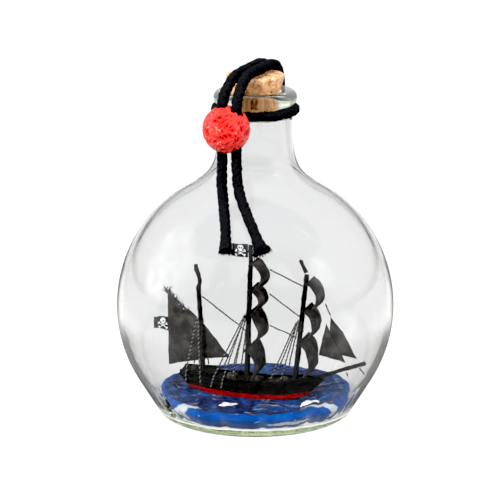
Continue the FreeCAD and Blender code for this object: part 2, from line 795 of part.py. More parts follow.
def make_rigging():
    """Shrouds to the hull's two sides, and stays between the masts and at the jibs."""
    groups = []
    for name, side in SHROUDS.items():
        groups.append(make_threads(name, side + [mirrored(run) for run in side]))
    for name, runs in STAYS.items():
        groups.append(make_threads(name, runs))
    return groups


# ---------------------------------------------------------------- the whole object


# each tail's points after its start: the height to which it hangs straight, then its way down
TAILS = {
    "left": (
        94.5,
        [
            Vector(-11.7, -23.1, 88.2),
            Vector(-11.3, -26.4, 84.3),
            Vector(-10.8, -30.6, 81.3),
            Vector(-10.5, -34.7, 78.0),
            Vector(-10.3, -38.3, 74.3),
            Vector(-10.2, -41.4, 70.2),
        ],
    ),
    "right": (
        94.9,
        [
            Vector(-6.0, -25.3, 88.7),
            Vector(-4.8, -28.5, 84.7),
            Vector(-3.2, -32.3, 81.6),
            Vector(-1.5, -36.1, 78.2),
            Vector(0.4, -39.6, 74.4),
            Vector(2.3, -42.6, 70.2),
        ],
    ),
}


def make_tail(side):
    """A free tail of the tie cord, from the bead down over the bottle's shoulder."""
    name, offset = f"tail_cord_{side}", size(f"{side}_strand_offset")
    straight_to, way_down = TAILS[side]
    reach = -size("bead_reach")
    start = tie_point(reach, offset, bead_low_end(offset) - size("tail_gap"))
    points = [start, tie_point(reach, offset, straight_to), *way_down]
    radii = bend_radii(points)
    print(PRINTED.format(name, [round(radius, 1) for radius in radii]))
    return plain_shape(name, cord_tube(rounded_route(points, radii), size("tie_cord_radius")))


def export(pieces):
    """Checks every object and every piece, then writes one STEP file a piece."""
    document.recompute()
    for item in document.Objects:
        if "Invalid" in item.State or "Error" in item.State:
            raise RuntimeError(f"{item.Name} is {item.State}")
    os.makedirs("parts", exist_ok=True)
    for piece in pieces:
        shape = piece.Shape
        if shape.isNull() or not shape.isValid() or not shape.Solids:
            raise RuntimeError(f"{piece.Label} has no valid solid")
        shape.exportStep(os.path.join("parts", f"{piece.Label}.step"))


PIECES = [make_bottle(), make_cork(), make_neck_ring(), make_hitch(), make_bead()]
PIECES += [make_tie_strand(side) for side in STRANDS]
PIECES += [make_tail(side) for side in TAILS]
PIECES += make_ship()
PIECES += make_rigging()
export(PIECES)
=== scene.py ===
"""Looks of the ship in a bottle: detailed pieces, materials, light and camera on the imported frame."""

import math

import bmesh
import bpy
import numpy as np
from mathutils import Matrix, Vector, geometry, noise


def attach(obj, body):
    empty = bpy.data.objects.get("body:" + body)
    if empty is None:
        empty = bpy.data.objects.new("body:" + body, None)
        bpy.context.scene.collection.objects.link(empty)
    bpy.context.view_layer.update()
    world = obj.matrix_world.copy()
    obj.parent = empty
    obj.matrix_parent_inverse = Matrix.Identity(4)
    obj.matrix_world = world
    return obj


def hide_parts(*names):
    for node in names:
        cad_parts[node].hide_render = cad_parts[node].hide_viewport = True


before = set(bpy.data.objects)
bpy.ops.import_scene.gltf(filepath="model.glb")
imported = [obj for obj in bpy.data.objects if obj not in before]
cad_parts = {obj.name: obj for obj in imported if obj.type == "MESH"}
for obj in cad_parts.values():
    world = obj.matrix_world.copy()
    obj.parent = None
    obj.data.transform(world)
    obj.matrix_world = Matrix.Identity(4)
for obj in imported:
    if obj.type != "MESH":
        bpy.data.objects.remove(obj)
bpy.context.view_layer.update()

MM = 0.001
TAU = 2 * math.pi
noise.seed_set(20)  # noise_vector would otherwise differ from run to run


# ---- meshes


def unit(v):
    v = np.asarray(v, float)
    return v / np.linalg.norm(v)


def noise_at(points, cell, seed=0.0, kind=noise.noise):
    """Smooth noise of about -1 to 1 at each point, with features about cell millimetres wide."""
    shift = Vector((seed, 1.7 * seed, -seed))
    return np.array([kind(Vector(p) / cell + shift) for p in np.asarray(points)])


def noise_vectors(points, cell, seed=0.0):
    return noise_at(points, cell, seed, noise.noise_vector)


def grid_faces(rows, columns, wrap_rows=False, wrap_columns=False):
    """The quads of a grid of points that is stored row by row."""
    faces = []
    for i in range(rows if wrap_rows else rows - 1):
        for j in range(columns if wrap_columns else columns - 1):
            a, b = i * columns, ((i + 1) % rows) * columns
            k = (j + 1) % columns
            faces.append((a + j, a + k, b + k, b + j))
    return faces


def carried_sides(line):
    """Two crossing directions along a line, carried without twist."""
    tangent = np.gradient(line, axis=0)
    tangent /= np.linalg.norm(tangent, axis=1)[:, None]
    side = np.cross(tangent[0], (0.36, 0.21, 0.91))
    if np.linalg.norm(side) < 0.1:
        side = np.cross(tangent[0], (0.9, 0.1, 0.1))
    sides = []
    for t in tangent:
        side = unit(side - t * (side @ t))
        sides.append(side)
    return np.array(sides), np.cross(tangent, sides)


def capped(rings, low, high):
    """A closed solid from rings of points, with a middle point for each end."""
    count, sides = rings.shape[:2]
    faces = grid_faces(count, sides, wrap_columns=True)
    first, last = count * sides, (count - 1) * sides
    for j in range(sides):
        k = (j + 1) % sides
        faces += [(first, k, j), (first + 1, last + j, last + k)]
    return np.vstack([rings.reshape(-1, 3), [low], [high]]), faces


def skin(line, radius, sides=16, closed=False):
    """A closed tube along a line; radius is a number, one a ring, or one a point."""
    line = np.asarray(line, float)
    if closed:
        side, other = (part[1:-1] for part in carried_sides(np.vstack([line[-1:], line, line[:1]])))
    else:
        side, other = carried_sides(line)
    radius = np.asarray(radius, float)
    if radius.ndim < 2:
        radius = radius.reshape(-1, 1)
    angle = np.arange(sides)[None, :, None] * TAU / sides
    out = np.cos(angle) * side[:, None] + np.sin(angle) * other[:, None]
    rings = line[:, None] + radius[..., None] * out
    if closed:
        return rings.reshape(-1, 3), grid_faces(len(line), sides, wrap_rows=True, wrap_columns=True)
    return capped(rings, line[0], line[-1])


def lathe(profile, segments):
    """A solid of revolution about Z from a half profile that starts and ends on the axis."""
    profile = np.asarray(profile, float)
    radius, height = profile[1:-1, :1], profile[1:-1, 1:]
    angle = np.arange(segments) * TAU / segments
    rings = np.stack([radius * np.cos(angle), radius * np.sin(angle), height + 0 * angle], axis=2)
    return capped(rings, (0, 0, profile[0, 1]), (0, 0, profile[-1, 1]))


def closed_sheet(front, back, faces):
    """A closed thin solid between two copies of one open surface."""
    count = len(front)
    edges = {(a, b) for f in faces for a, b in zip(f, f[1:] + f[:1])}
    rim = [(a, count + a, count + b, b) for a, b in sorted(edges) if (b, a) not in edges]
    turned_over = [tuple(count + i for i in reversed(face)) for face in faces]
    return np.vstack([front, back]), [*faces, *turned_over, *rim]


def joined(parts):
    """Several (points, faces) as one."""
    points, faces, first = [], [], 0
    for some_points, some_faces in parts:
        points.append(some_points)
        faces += [tuple(first + i for i in face) for face in some_faces]
        first += len(some_points)
    return np.vstack(points), faces


def drained(shape):
    """The points and faces of a bmesh, which is freed."""
    points = np.array([v.co for v in shape.verts])
    faces = [tuple(v.index for v in f.verts) for f in shape.faces]
    shape.free()
    return points, faces


def in_scene(name, data):
    """A new object in the scene."""
    made = bpy.data.objects.new(name, data)
    bpy.context.scene.collection.objects.link(made)
    return made


def mesh_of(name, points, faces):
    """A mesh from points in millimetres."""
    mesh = bpy.data.meshes.new(name)
    mesh.from_pydata([tuple(p) for p in np.asarray(points) * MM], [], faces)
    return mesh


def new_piece(name, mesh_data, look, node=None, body="bottle", sharp=None):
    """A shown piece, which may stand for a CAD node. sharp is the least angle of a hard edge."""
    mesh = mesh_of(name, *mesh_data)
    mesh.validate()
    shape = bmesh.new()
    shape.from_mesh(mesh)
    bmesh.ops.recalc_face_normals(shape, faces=shape.faces)
    for face in shape.faces:
        face.smooth = True
    for edge in shape.edges if sharp else ():
        if edge.calc_face_angle(0) > math.radians(sharp):
            edge.smooth = False
    shape.to_mesh(mesh)
    shape.free()
    mesh.materials.append(look)
    piece = in_scene(name, mesh)
    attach(piece, body)
    if node:
        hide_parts(node)
    return piece


def point_values(piece, name, values):
    """Stores a number for each point, which a look reads by its name."""
    stored = piece.data.attributes.new(name, "FLOAT", "POINT")
    stored.data.foreach_set("value", values.astype(np.float32))


def spline_line(route):
    """The NURBS spline of a route's points, in metres, as a line in millimetres."""
    curve = bpy.data.curves.new("route", "CURVE")
    curve.dimensions = "3D"
    spline = curve.splines.new("NURBS")
    spline.points.add(len(route) - 1)
    for point, place in zip(spline.points, route):
        point.co = (*place, 1)
    spline.order_u = 3
    spline.use_endpoint_u = True
    spline.resolution_u = 30
    holder = bpy.data.objects.new("route", curve)
    mesh = bpy.data.meshes.new_from_object(holder)
    line = np.array([v.co for v in mesh.vertices]) / MM
    bpy.data.meshes.remove(mesh)
    bpy.data.curves.remove(curve)
    return line


# ---- materials


def linear(red, green, blue):
    """An sRGB colour of 0 to 255 as the linear colour that a shader takes."""
    values = (red / 255, green / 255, blue / 255)
    return (*(v / 12.92 if v <= 0.04045 else ((v + 0.055) / 1.055) ** 2.4 for v in values), 1.0)


MIX_FACTOR, MIX_A, MIX_B, MIX_COLOUR = 0, 6, 7, 2


class Nodes:
    """Short ways to add shader nodes. An input is a value or another node's output, and a colour
    of three numbers is an sRGB one."""

    def __init__(self, tree):
        self.tree = tree

    def put(self, socket, value):
        if isinstance(value, bpy.types.NodeSocket):
            self.tree.links.new(value, socket)
        else:
            srgb = socket.type == "RGBA" and len(value) == 3
            socket.default_value = linear(*value) if srgb else value

    def node(self, kind, inputs, output=0, **settings):
        made = self.tree.nodes.new("ShaderNode" + kind)
        for key, value in settings.items():
            setattr(made, key, value)
        for key, value in inputs.items():
            self.put(made.inputs[key], value)
        return made.outputs[output]

    def ramp(self, factor, *stops):
        """A colour ramp through (position, colour) stops."""
        made = self.tree.nodes.new("ShaderNodeValToRGB")
        elements = made.color_ramp.elements
        while len(elements) < len(stops):
            elements.new(0.5)
        for element, (position, colour) in zip(elements, stops):
            element.position = position
            element.color = colour if len(colour) == 4 else linear(*colour)
        self.put(made.inputs["Fac"], factor)
        return made.outputs["Color"]

    def mask(self, factor, low, high):
        """0 below low, 1 above high."""
        inputs = {"Value": factor, "From Min": low, "From Max": high}
        return self.node("MapRange", inputs, interpolation_type="SMOOTHSTEP")

    def mix(self, factor, a, b, blend="MIX"):
        inputs = {MIX_FACTOR: factor, MIX_A: a, MIX_B: b}
        return self.node("Mix", inputs, MIX_COLOUR, data_type="RGBA", blend_type=blend)

    def math(self, operation, a, b=0.0):
        return self.node("Math", {0: a, 1: b}, operation=operation)

    def plus(self, a, b):
        return self.math("ADD", a, b)

    def times(self, a, b):
        return self.math("MULTIPLY", a, b)

    def minus(self, a, b):
        return self.math("SUBTRACT", a, b)

    def vector(self, operation, a, b=(0, 0, 0)):
        output = "Value" if operation in ("LENGTH", "DOT_PRODUCT") else "Vector"
        return self.node("VectorMath", {0: a, 1: b}, output, operation=operation)


class Look(Nodes):
    """A material: a Principled shader with nodes before it; the slot it is given is not used."""

    def __init__(self, name, slot, **constants):
        self.material = bpy.data.materials.new(name)
        self.material.use_nodes = True
        super().__init__(self.material.node_tree)
        self.shader = self.tree.nodes["Principled BSDF"]
        for socket, value in constants.items():
            self.shader.inputs[socket.replace("_", " ")].default_value = value
        self.place = self.node("TexCoord", {}, "Object")

    def noise(self, cell_mm, detail=4.0, rough=0.6, twist=0.0, stretch=None):
        """Noise of 0 to 1 with features of that size."""
        place = self.place
        if stretch is not None:
            place = self.node("Mapping", {"Vector": place, "Scale": stretch})
        inputs = {"Vector": place, "Scale": 1 / (cell_mm * MM), "Detail": detail}
        return self.node("TexNoise", {**inputs, "Roughness": rough, "Distortion": twist})

    def mottled(self, cell_mm, dark, light, low=0.3, high=0.7, detail=4.0):
        """A colour that wanders between a dark and a light one."""
        return self.ramp(self.noise(cell_mm, detail), (low, dark), (high, light))

    def wander(self, cell_mm, detail, reach):
        """A number that wanders about zero, with this reach from end to end."""
        return self.times(self.minus(self.noise(cell_mm, detail), 0.5), reach)

    def axis(self, direction):
        """How far a point lies along a direction, in metres."""
        return self.vector("DOT_PRODUCT", self.place, direction)

    def bump(self, height, depth_mm, strength=1.0):
        return self.node("Bump", {"Height": height, "Distance": depth_mm * MM, "Strength": strength})

    def finish(self, colour=None, rough=None, normal=None, glow=None):
        driven = {"Base Color": colour, "Roughness": rough, "Normal": normal, "Emission Color": glow}
        for socket, value in driven.items():
            if value is not None:
                self.put(self.shader.inputs[socket], value)
        return self.material


GLASS_BASE, GLASS_DEPTH = (0.864, 0.861, 0.878, 1), (0.86, 0.96, 0.66, 1)
# colour of the painted glint that glows at the sides of the lip
LIP_PAINTED_GLINT = (0.186, 0.196, 0.186, 1)
BLACK, WHITE = (0, 0, 0, 1), (1, 1, 1, 1)


def glass_look():
    """Clear glass, tinted by its depth, with a painted glint: a slight glow at the two sides of the lip.
    """
    look = Look(
        "glass", "glass", Base_Color=GLASS_BASE, Transmission_Weight=1.0, Roughness=0.0,
        IOR=1.5, Specular_IOR_Level=0.12, Emission_Strength=1.0,
    )
    # painted highlight: the two sides of the lip glow as a glint, though the glass is no lamp
    at_lip = look.mask(look.axis((0, 0, 1)), 0.1130, 0.1145)
    at_side = look.mask(look.math("ABSOLUTE", look.axis((1, 0, 0))), 0.006, 0.012)
    painted_glint = look.mix(look.times(at_lip, at_side), BLACK, LIP_PAINTED_GLINT)
    depth = look.node("VolumeAbsorption", {"Color": GLASS_DEPTH, "Density": 30.0})
    look.put(look.tree.nodes["Material Output"].inputs["Volume"], depth)
    return look.finish(normal=look.bump(look.noise(14, 1.0, 0.4), 0.04, 0.25), glow=painted_glint)


def cork_look():
    """Cork with crooked seams and dark pits."""
    look = Look("cork", "cork", Specular_IOR_Level=0.25)
    grain = look.noise(2.4, 6.0, 0.7, twist=0.6)
    pale = ((0.56, (228, 182, 138)), (0.80, (244, 212, 174)))
    base = look.ramp(grain, (0.25, (150, 98, 66)), (0.40, (204, 150, 106)), *pale)
    bent = look.node("TexNoise", {"Vector": look.place, "Scale": 420.0, "Detail": 2.0}, "Color")
    crooked = look.vector("ADD", look.place, look.vector("MULTIPLY", bent, (0.0015, 0.0015, 0.0015)))
    cells = {"Vector": crooked, "Scale": 1 / (3.0 * MM)}
    edges = look.node("TexVoronoi", cells, "Distance", feature="DISTANCE_TO_EDGE")
    seams = look.minus(1.0, look.mask(edges, 0.0, 0.05))
    seams = look.times(seams, look.mask(look.noise(2.6, 2.0), 0.48, 0.60))
    pits = look.mask(look.noise(1.1, 3.0, 0.55, stretch=(1.0, 1.0, 0.5)), 0.63, 0.70)
    base = look.mix(pits, look.mix(seams, base, (120, 70, 42)), (52, 22, 10))
    normal = look.bump(look.minus(grain, pits), 0.25, 0.8)
    return look.finish(base, look.mask(grain, 0.0, 1.6), normal)


def cord_look():
    """Black twisted yarn: fine fibres with a little sheen."""
    look = Look("black_cord", "black_cord", Roughness=0.85, Specular_IOR_Level=0.12)
    fibre = look.noise(0.28, 5.0, 0.75)
    colour = look.ramp(fibre, (0.30, (0.003, 0.003, 0.003, 1)), (0.62, (0.024, 0.024, 0.026, 1)))
    return look.finish(colour, None, look.bump(fibre, 0.12, 0.9))


def bead_look():
    """Glossy red, with painted shade deep in the folds and painted highlights, paler, almost pink, along
    the crests.
    """
    look = Look("red_bead", "red_bead", Coat_Weight=0.6, Coat_Roughness=0.1, Specular_IOR_Level=0.5)
    crest = look.node("Attribute", {}, "Fac", attribute_name="crest")
    fine = look.noise(0.7, 4.0, 0.6, twist=1.0)
    # painted shade and light: darker red down in the folds, lighter red up on the crests
    fold_shade_crest_light = look.ramp(crest, (0.0, (150, 8, 8)), (0.45, (200, 26, 22)), (0.85, (214, 58, 50)))
    # painted highlights: pink flecks where the crests are highest
    pale = look.times(look.plus(look.noise(2.6, 3.0), fine), crest)
    colour = look.mix(look.times(look.mask(pale, 0.96, 1.18), 0.8), fold_shade_crest_light, (255, 168, 158))
    return look.finish(colour, look.mask(fine, -0.9, 1.8), look.bump(fine, 0.12, 0.7))


# where a smear of white lies on the sea and how far it reaches each way, in millimetres
SMEARS = (
    ((12.0, -32.5, 5.6), (7.0, 9.0, 0.8)),
    ((-25.5, -23.0, 8.6), (6.5, 2.4, 4.0)),
    ((24.5, -21.5, 8.8), (8.0, 1.8, 4.0)),
    ((-20.0, 20.0, 8.0), (7.0, 2.2, 4.0)),
)


def sea_look(rim_radius):
    """Blue modelling putty: streaked blue and violet on top, bright blue at the sides."""
    look = Look("sea", "sea", Coat_Weight=0.06, Coat_Roughness=0.2, Specular_IOR_Level=0.1)
    streaks = look.noise(9.0, 6.0, 0.62, twist=1.6, stretch=(1.0, 0.55, 1.0))
    deep = ((0.34, (2, 14, 40)), (0.44, (6, 32, 80)), (0.52, (30, 48, 96)))
    top = look.ramp(streaks, *deep, (0.60, (6, 68, 134)), (0.70, (70, 100, 146)))
    wash = look.noise(8.0, 5.0, 0.7, twist=2.6, stretch=(0.6, 1.1, 1.0))
    top = look.mix(look.times(look.mask(wash, 0.55, 0.70), 0.65), top, (196, 206, 222))
    foam = look.noise(5.0, 4.0, 0.65, twist=1.2, stretch=(1.0, 1.0, 2.6))
    side = look.mottled(6.0, (0, 58, 130), (0, 88, 172), detail=3.0)
    side = look.mix(look.mask(foam, 0.66, 0.70), side, (214, 220, 222))
    radius = look.vector("LENGTH", look.vector("MULTIPLY", look.place, (1, 1, 0)))
    edge = look.plus(radius, look.wander(8.0, 2.0, 5.0 * MM))
    colour = look.mix(look.mask(edge, (rim_radius - 0.9) * MM, (rim_radius + 0.1) * MM), top, side)
    ragged = look.wander(1.6, 4.0, 1.6)
    for centre, reach in SMEARS:
        apart = look.vector("SUBTRACT", look.place, Vector(centre) * MM)
        apart = look.vector("LENGTH", look.vector("DIVIDE", apart, Vector(reach) * MM))
        clear = look.mask(look.plus(apart, ragged), 0.75, 1.15)
        colour = look.mix(clear, (206, 212, 220), colour)
    fine = look.noise(1.2, 4.0)
    return look.finish(colour, look.mask(fine, -0.6, 1.6), look.bump(fine, 0.25, 0.5))


def foam_look():
    """Thick white paint with brush marks."""
    look = Look("foam", "foam", Coat_Weight=0.5, Coat_Roughness=0.15)
    brush = look.noise(0.7, 3.0, stretch=(0.4, 1.0, 1.0))
    colour = look.ramp(brush, (0.3, (190, 196, 200)), (0.6, (250, 251, 252)))
    return look.finish(colour, look.mask(brush, -0.6, 1.8), look.bump(brush, 0.1, 0.6))


def painted_wood(name, slot, colour_of, wear=0.62, stretch=(0.25, 1.0, 1.0)):
    """Hand painted wood: colour_of(look) gives the paint, and light scratches show the wear."""
    look = Look(name, slot, Specular_IOR_Level=0.07)
    grain = look.noise(0.5, 4.0, 0.65, stretch=stretch)
    scratch = look.noise(0.55, 5.0, 0.8, twist=0.8, stretch=stretch)
    worn = look.times(look.mask(scratch, wear, wear + 0.05), 0.75)
    colour = look.mix(worn, colour_of(look), (150, 148, 140))
    return look.finish(colour, look.mask(grain, -0.7, 1.5), look.bump(grain, 0.1, 0.6))


WEAVE_TURN = math.radians(17)


def cloth_look(name, slot, dark, mid, light):
    """Stiffened dark cloth: a fine weave, uneven dye and pale dust."""
    look = Look(name, slot, Specular_IOR_Level=0.1)
    dye = look.ramp(look.noise(4.5, 5.0), (0.3, dark), (0.5, mid), (0.72, light))
    dust = look.noise(0.45, 4.0, 0.7)
    colour = look.mix(look.times(look.mask(dust, 0.64, 0.72), 0.55), dye, (158, 156, 150))
    turned = look.node("Mapping", {"Vector": look.place, "Rotation": (0, 0, WEAVE_TURN)})
    inputs = {"Vector": turned, "Scale": 900.0, "Distortion": 1.2}
    weave = look.times(*(look.node("TexWave", inputs, bands_direction=way) for way in "XZ"))
    cloth = look.plus(weave, look.times(dust, 1.5))
    return look.finish(colour, look.mask(dust, -1.2, 1.0), look.bump(cloth, 0.08, 0.7))


def floor_look():
    """A pale floor that glows evenly under the object and fades to light grey at the sides.

    Rays that the near glass has mirrored see it dark where they land about the bottle."""
    look = Look("floor", None, Roughness=0.9, Specular_IOR_Level=0.1, Emission_Strength=0.93)
    across = look.math("ABSOLUTE", look.node("SeparateXYZ", {"Vector": look.place}))
    along = look.axis((0, 1, 0))
    side = look.minus(across, look.times(look.math("MAXIMUM", along, 0.0), 0.16))
    glow = look.ramp(look.mask(side, 0.10, 0.24), (0.0, WHITE), (1.0, (0.68, 0.68, 0.69, 1)))
    mirrored = look.mask(look.node("LightPath", {}, "Glossy Depth"), 0.4, 0.6)
    far_wall = look.mask(look.node("LightPath", {}, "Transmission Depth"), 2.4, 2.6)
    away = look.vector("LENGTH", look.place)
    around = look.minus(1.0, look.mask(away, 0.09, 0.16))
    before = look.mask(look.times(along, -1.0), 0.04, 0.09)
    wedge = look.minus(look.times(along, 0.45), across)
    behind = look.minus(look.mask(wedge, -0.05, -0.02), look.mask(away, 0.38, 0.44))
    landing = look.math("MAXIMUM", look.math("MAXIMUM", around, before), behind)
    landing = look.times(look.mask(away, 0.032, 0.040), landing)
    dimmed = look.math("MAXIMUM", look.times(look.minus(mirrored, far_wall), landing), 0.0)
    glow = look.mix(dimmed, glow, (0.05, 0.05, 0.05, 1))
    glow = look.mix(look.node("LightPath", {}, "Is Camera Ray"), glow, WHITE)
    grey = look.ramp(look.noise(220.0, 2.0), (0.0, (0.14, 0.14, 0.14, 1)), (1.0, (0.16, 0.16, 0.16, 1)))
    return look.finish(grey, glow=glow)


# ---- bottle


def arc(centre, radius, start, end, steps):
    """Points of an arc in the half profile, from one angle in degrees to another."""
    angle = np.radians(np.linspace(start, end, steps))
    return [(centre[0] + radius * math.cos(a), centre[1] + radius * math.sin(a)) for a in angle]


BODY_RADIUS, BODY_Z, WALL = 50.0, 39.8, 2.2
WALL_LEAN = -31.4
NECK_RADIUS, BORE_RADIUS = 13.3, 8.6
SHOULDER_BEND = 15.0


def bottle_profile():
    """The glass's half section, from the middle of the foot round to the middle of the floor."""
    body = (0, BODY_Z)
    bend_x = NECK_RADIUS + SHOULDER_BEND
    bend = (bend_x, BODY_Z + math.sqrt((BODY_RADIUS + SHOULDER_BEND) ** 2 - bend_x**2))
    turn = math.degrees(math.atan2(bend[1] - BODY_Z, bend_x))
    profile = [(0, 0.8)]
    profile += [(r, 0.8 - 0.8 * r / 22.0) for r in np.linspace(3, 21, 7)]
    profile += [(22.0, 0.0), (27.0, 0.0)]
    profile += arc((32.6, 3.0), 3.0, -90, WALL_LEAN, 9)
    profile += arc(body, BODY_RADIUS, WALL_LEAN, turn, 110)
    profile += arc(bend, SHOULDER_BEND, 180 + turn, 180, 24)[1:]
    profile += [(NECK_RADIUS, 102.0), (NECK_RADIUS, 105.6), (NECK_RADIUS - 0.02, 108.4)]
    profile += [(NECK_RADIUS - 0.15, 109.0), (12.55, 110.0), (12.4, 110.5), (12.4, 113.2)]
    profile += arc((12.425, 116.225), 2.575, -88, 90, 22)
    profile += arc((10.4, 117.0), 1.8, 90, 180, 9)
    profile += [(BORE_RADIUS, z) for z in np.linspace(115.5, 111.5, 4)]
    ease = np.linspace(0.1, 1, 10)
    profile += [(BORE_RADIUS + 2.5 * t * t * (3 - 2 * t), 111.5 - 3.3 * t) for t in ease]
    profile += arc(bend, SHOULDER_BEND + WALL, 180, 180 + turn, 26)
    profile += arc(body, BODY_RADIUS - WALL, turn, WALL_LEAN, 110)[1:]
    profile += arc((32.26, 5.7), 2.5, WALL_LEAN, -90, 8)
    profile += [(r, 3.2) for r in np.linspace(29, 4, 9)] + [(0, 3.2)]
    return eased(np.array(profile), 70.0, 107.0, 60)


def eased(profile, low, high, rounds):
    """The profile with the change of curvature at the shoulder drawn out, as blown glass has it."""
    height = profile[:, 1]
    share = np.clip(np.minimum((height - low) / 14, (high - height) / 4), 0, 1) ** 2 / 2
    for _ in range(rounds):
        middle = (np.roll(profile, 1, axis=0) + np.roll(profile, -1, axis=0)) / 2
        profile = profile + share[:, None] * (middle - profile)
    return profile


def uneven_glass(points):
    """The inside of pressed glass waves a little, most of all round the foot."""
    height = points[:, 2]
    from_centre = np.linalg.norm(points - (0, 0, BODY_Z), axis=1)
    inside = (height > 3.0) & (height < 84) & (from_centre < BODY_RADIUS - WALL / 2)
    inside |= (height > 3.0) & (height <= 5.7) & (np.hypot(points[:, 0], points[:, 1]) < 34.8)
    low, upper = np.clip((17 - height) / 11, 0, 1), np.clip((80 - height) / 20, 0, 1)
    depth = np.where(inside, 0.012 * upper + 0.30 * low, 0.0)
    waves = noise_at(points * (1, 1, 2), 5.0, 3.0) + 0.6 * noise_at(points * (1, 1, 2.5), 2.2, 8.0)
    outward = points - (0, 0, BODY_Z)
    outward /= np.maximum(np.linalg.norm(outward, axis=1)[:, None], 1e-6)
    return points + outward * (depth * waves)[:, None]


points, faces = lathe(bottle_profile(), 256)
bottle = new_piece("bottle_glass", (uneven_glass(points), faces), glass_look(), "glass_bottle", sharp=40)
bottle.visible_shadow = False


# ---- cork


def cork_profile():
    profile = [(0, 109.2), (3, 109.2), (6, 109.22)]
    profile += arc((7.5, 109.8), 0.6, -90, 0, 5)
    profile += [(8.1 + 0.4 * t, 109.8 + 7.2 * t) for t in np.linspace(0.04, 1, 30)]
    profile += [(8.5 + 1.9 * t, 117.0 + 7.0 * t) for t in np.linspace(0.03, 0.97, 26)]
    profile += arc((9.8, 124.0), 0.6, 0, 90, 6)
    profile += [(r, 124.6) for r in np.linspace(9.3, 0.4, 26)] + [(0, 124.6)]
    return profile


def rough_cork(points):
    """Pits and crumbled edges, cut inwards from the smooth cone."""
    pits = np.clip(noise_at(points, 1.3, 5.0) + 0.35 * noise_at(points, 0.6, 1.0) - 0.12, 0, 1)
    large = np.clip(noise_at(points, 3.1, 9.0) - 0.1, 0, 1)
    inward = (0, 0, 115.0) - points
    on_top = (points[:, 2] > 124.3) & (np.hypot(points[:, 0], points[:, 1]) < 9.6)
    inward[:, 2] *= 0.2
    inward[on_top] = (0, 0, -1)
    inward /= np.maximum(np.linalg.norm(inward, axis=1)[:, None], 1e-6)
    return points + inward * (0.75 * pits + 0.35 * large)[:, None]


points, faces = lathe(cork_profile(), 160)
new_piece("cork_body", (rough_cork(points), faces), cork_look(), "cork_stopper", "stopper")


# ---- cords

TIE_ANGLE = math.radians(65)
TIE_RADIUS = 1.85
BEAD_REACH, BEAD_Z, BEAD_RADIUS, BORE_IN_BEAD = 24.1, 109.2, 8.5, 2.1
BEAD_TAIL_Z = BEAD_Z - BEAD_RADIUS - 5.0
MOST_IN_BEAD, MOST_AT_HITCH = 1.93, 1.84
GLASS_GAP = 0.12
PLIES, YARNS_PER_PLY, ROPE_SIDES = 3, 5, 40

TIE_BACK = np.array((math.cos(TIE_ANGLE), math.sin(TIE_ANGLE), 0))
TIE_RIGHT = np.array((math.sin(TIE_ANGLE), -math.cos(TIE_ANGLE), 0))


def tie_point(reach, offset, height):
    """A point in the tie's own plane: reach behind the axis, offset across it."""
    return TIE_BACK * reach + TIE_RIGHT * offset + (0, 0, height)


def laid_rope(line, radius, lay=7.0, closed=False, seed=0.0, flare=0.0, most=9.0):
    """A laid cord: plies that wind round the line, fine yarns in each, and fuzz.

    most is the greatest radius that it may reach, for the whole cord or for each point."""
    along = np.concatenate([[0], np.cumsum(np.linalg.norm(np.diff(line, axis=0), axis=1))])[:, None]
    total = along[-1, 0]
    if closed:
        total += np.linalg.norm(line[0] - line[-1])
        lay = total / round(total / lay)
    turn = np.arange(ROPE_SIDES) * TAU / ROPE_SIDES - TAU * along / lay
    ply = np.abs(np.cos(PLIES * turn / 2)) ** 0.7
    yarn = np.cos(PLIES * YARNS_PER_PLY * turn + TAU * along / (lay * 0.22))
    widen = 1 + flare * np.clip((along - (total - 7.0)) / 7.0, 0, 1) ** 2
    points, faces = skin(line, radius * (0.87 + 0.13 * ply + 0.02 * yarn) * widen, ROPE_SIDES, closed)
    fuzz = noise_at(points, 2.2, seed) * 0.30 + noise_at(points, 0.5, seed + 4) * 0.15
    centre = np.repeat(line, ROPE_SIDES, axis=0)
    out = points[: len(centre)] - centre
    reach = np.linalg.norm(out, axis=1)
    limit = np.repeat(np.broadcast_to(most, len(line)), ROPE_SIDES)
    kept = np.minimum(reach + fuzz[: len(centre)], limit)
    points[: len(centre)] = centre + out * (kept / reach)[:, None]
    return points, faces


def room_in_bead(line):
    """The greatest radius at each point of a strand: less inside the bead and at the hitch."""
    reach, height = line @ TIE_BACK, line[:, 2]
    in_bead = (reach < -BEAD_REACH + 2.5) & (height > BEAD_TAIL_Z) & (height < BEAD_Z + BEAD_RADIUS)
    at_hitch = (reach > 14.0) & (height < 121.0)
    return np.where(in_bead, MOST_IN_BEAD, np.where(at_hitch, MOST_AT_HITCH, 2.6))


def off_glass(points):
    """Moves what would sink into the round body back out onto it."""
    clear = BODY_RADIUS + GLASS_GAP
    from_centre = points - (0, 0, BODY_Z)
    distance = np.linalg.norm(from_centre, axis=1)
    inside = (distance < clear) & (points[:, 2] < 84) & (points[:, 2] > 15)
    moved = (0, 0, BODY_Z) + from_centre * (clear / np.maximum(distance, 1e-6))[:, None]
    return np.where(inside[:, None], moved, points)


def fray(end, heading, radius, count, length, seed):
    """A tuft of loose yarn ends."""
    random = np.random.default_rng(seed)
    side = unit(np.cross(heading, (0.2, 0.3, 0.9)))
    other = np.cross(heading, side)
    hairs = []
    for _ in range(count):
        angle = random.uniform(0, TAU)
        reach = radius * math.sqrt(random.uniform(0.02, 1))
        out = math.cos(angle) * side + math.sin(angle) * other
        start = end + out * reach - heading * 1.2
        long = length * random.uniform(0.45, 1.0)
        lean = 0.30 * reach / radius + random.normal(0, 0.10)
        at = np.linspace(0, 1, 7)[:, None]
        hair = start + heading * long * at + out * lean * long * at**1.6
        hair = hair + random.normal(0, 0.07, (7, 3)) * at
        hairs.append(skin(hair, np.linspace(0.17, 0.07, 7), 5))
    points, faces = joined(hairs)
    return off_glass(points), faces


black_cord = cord_look()

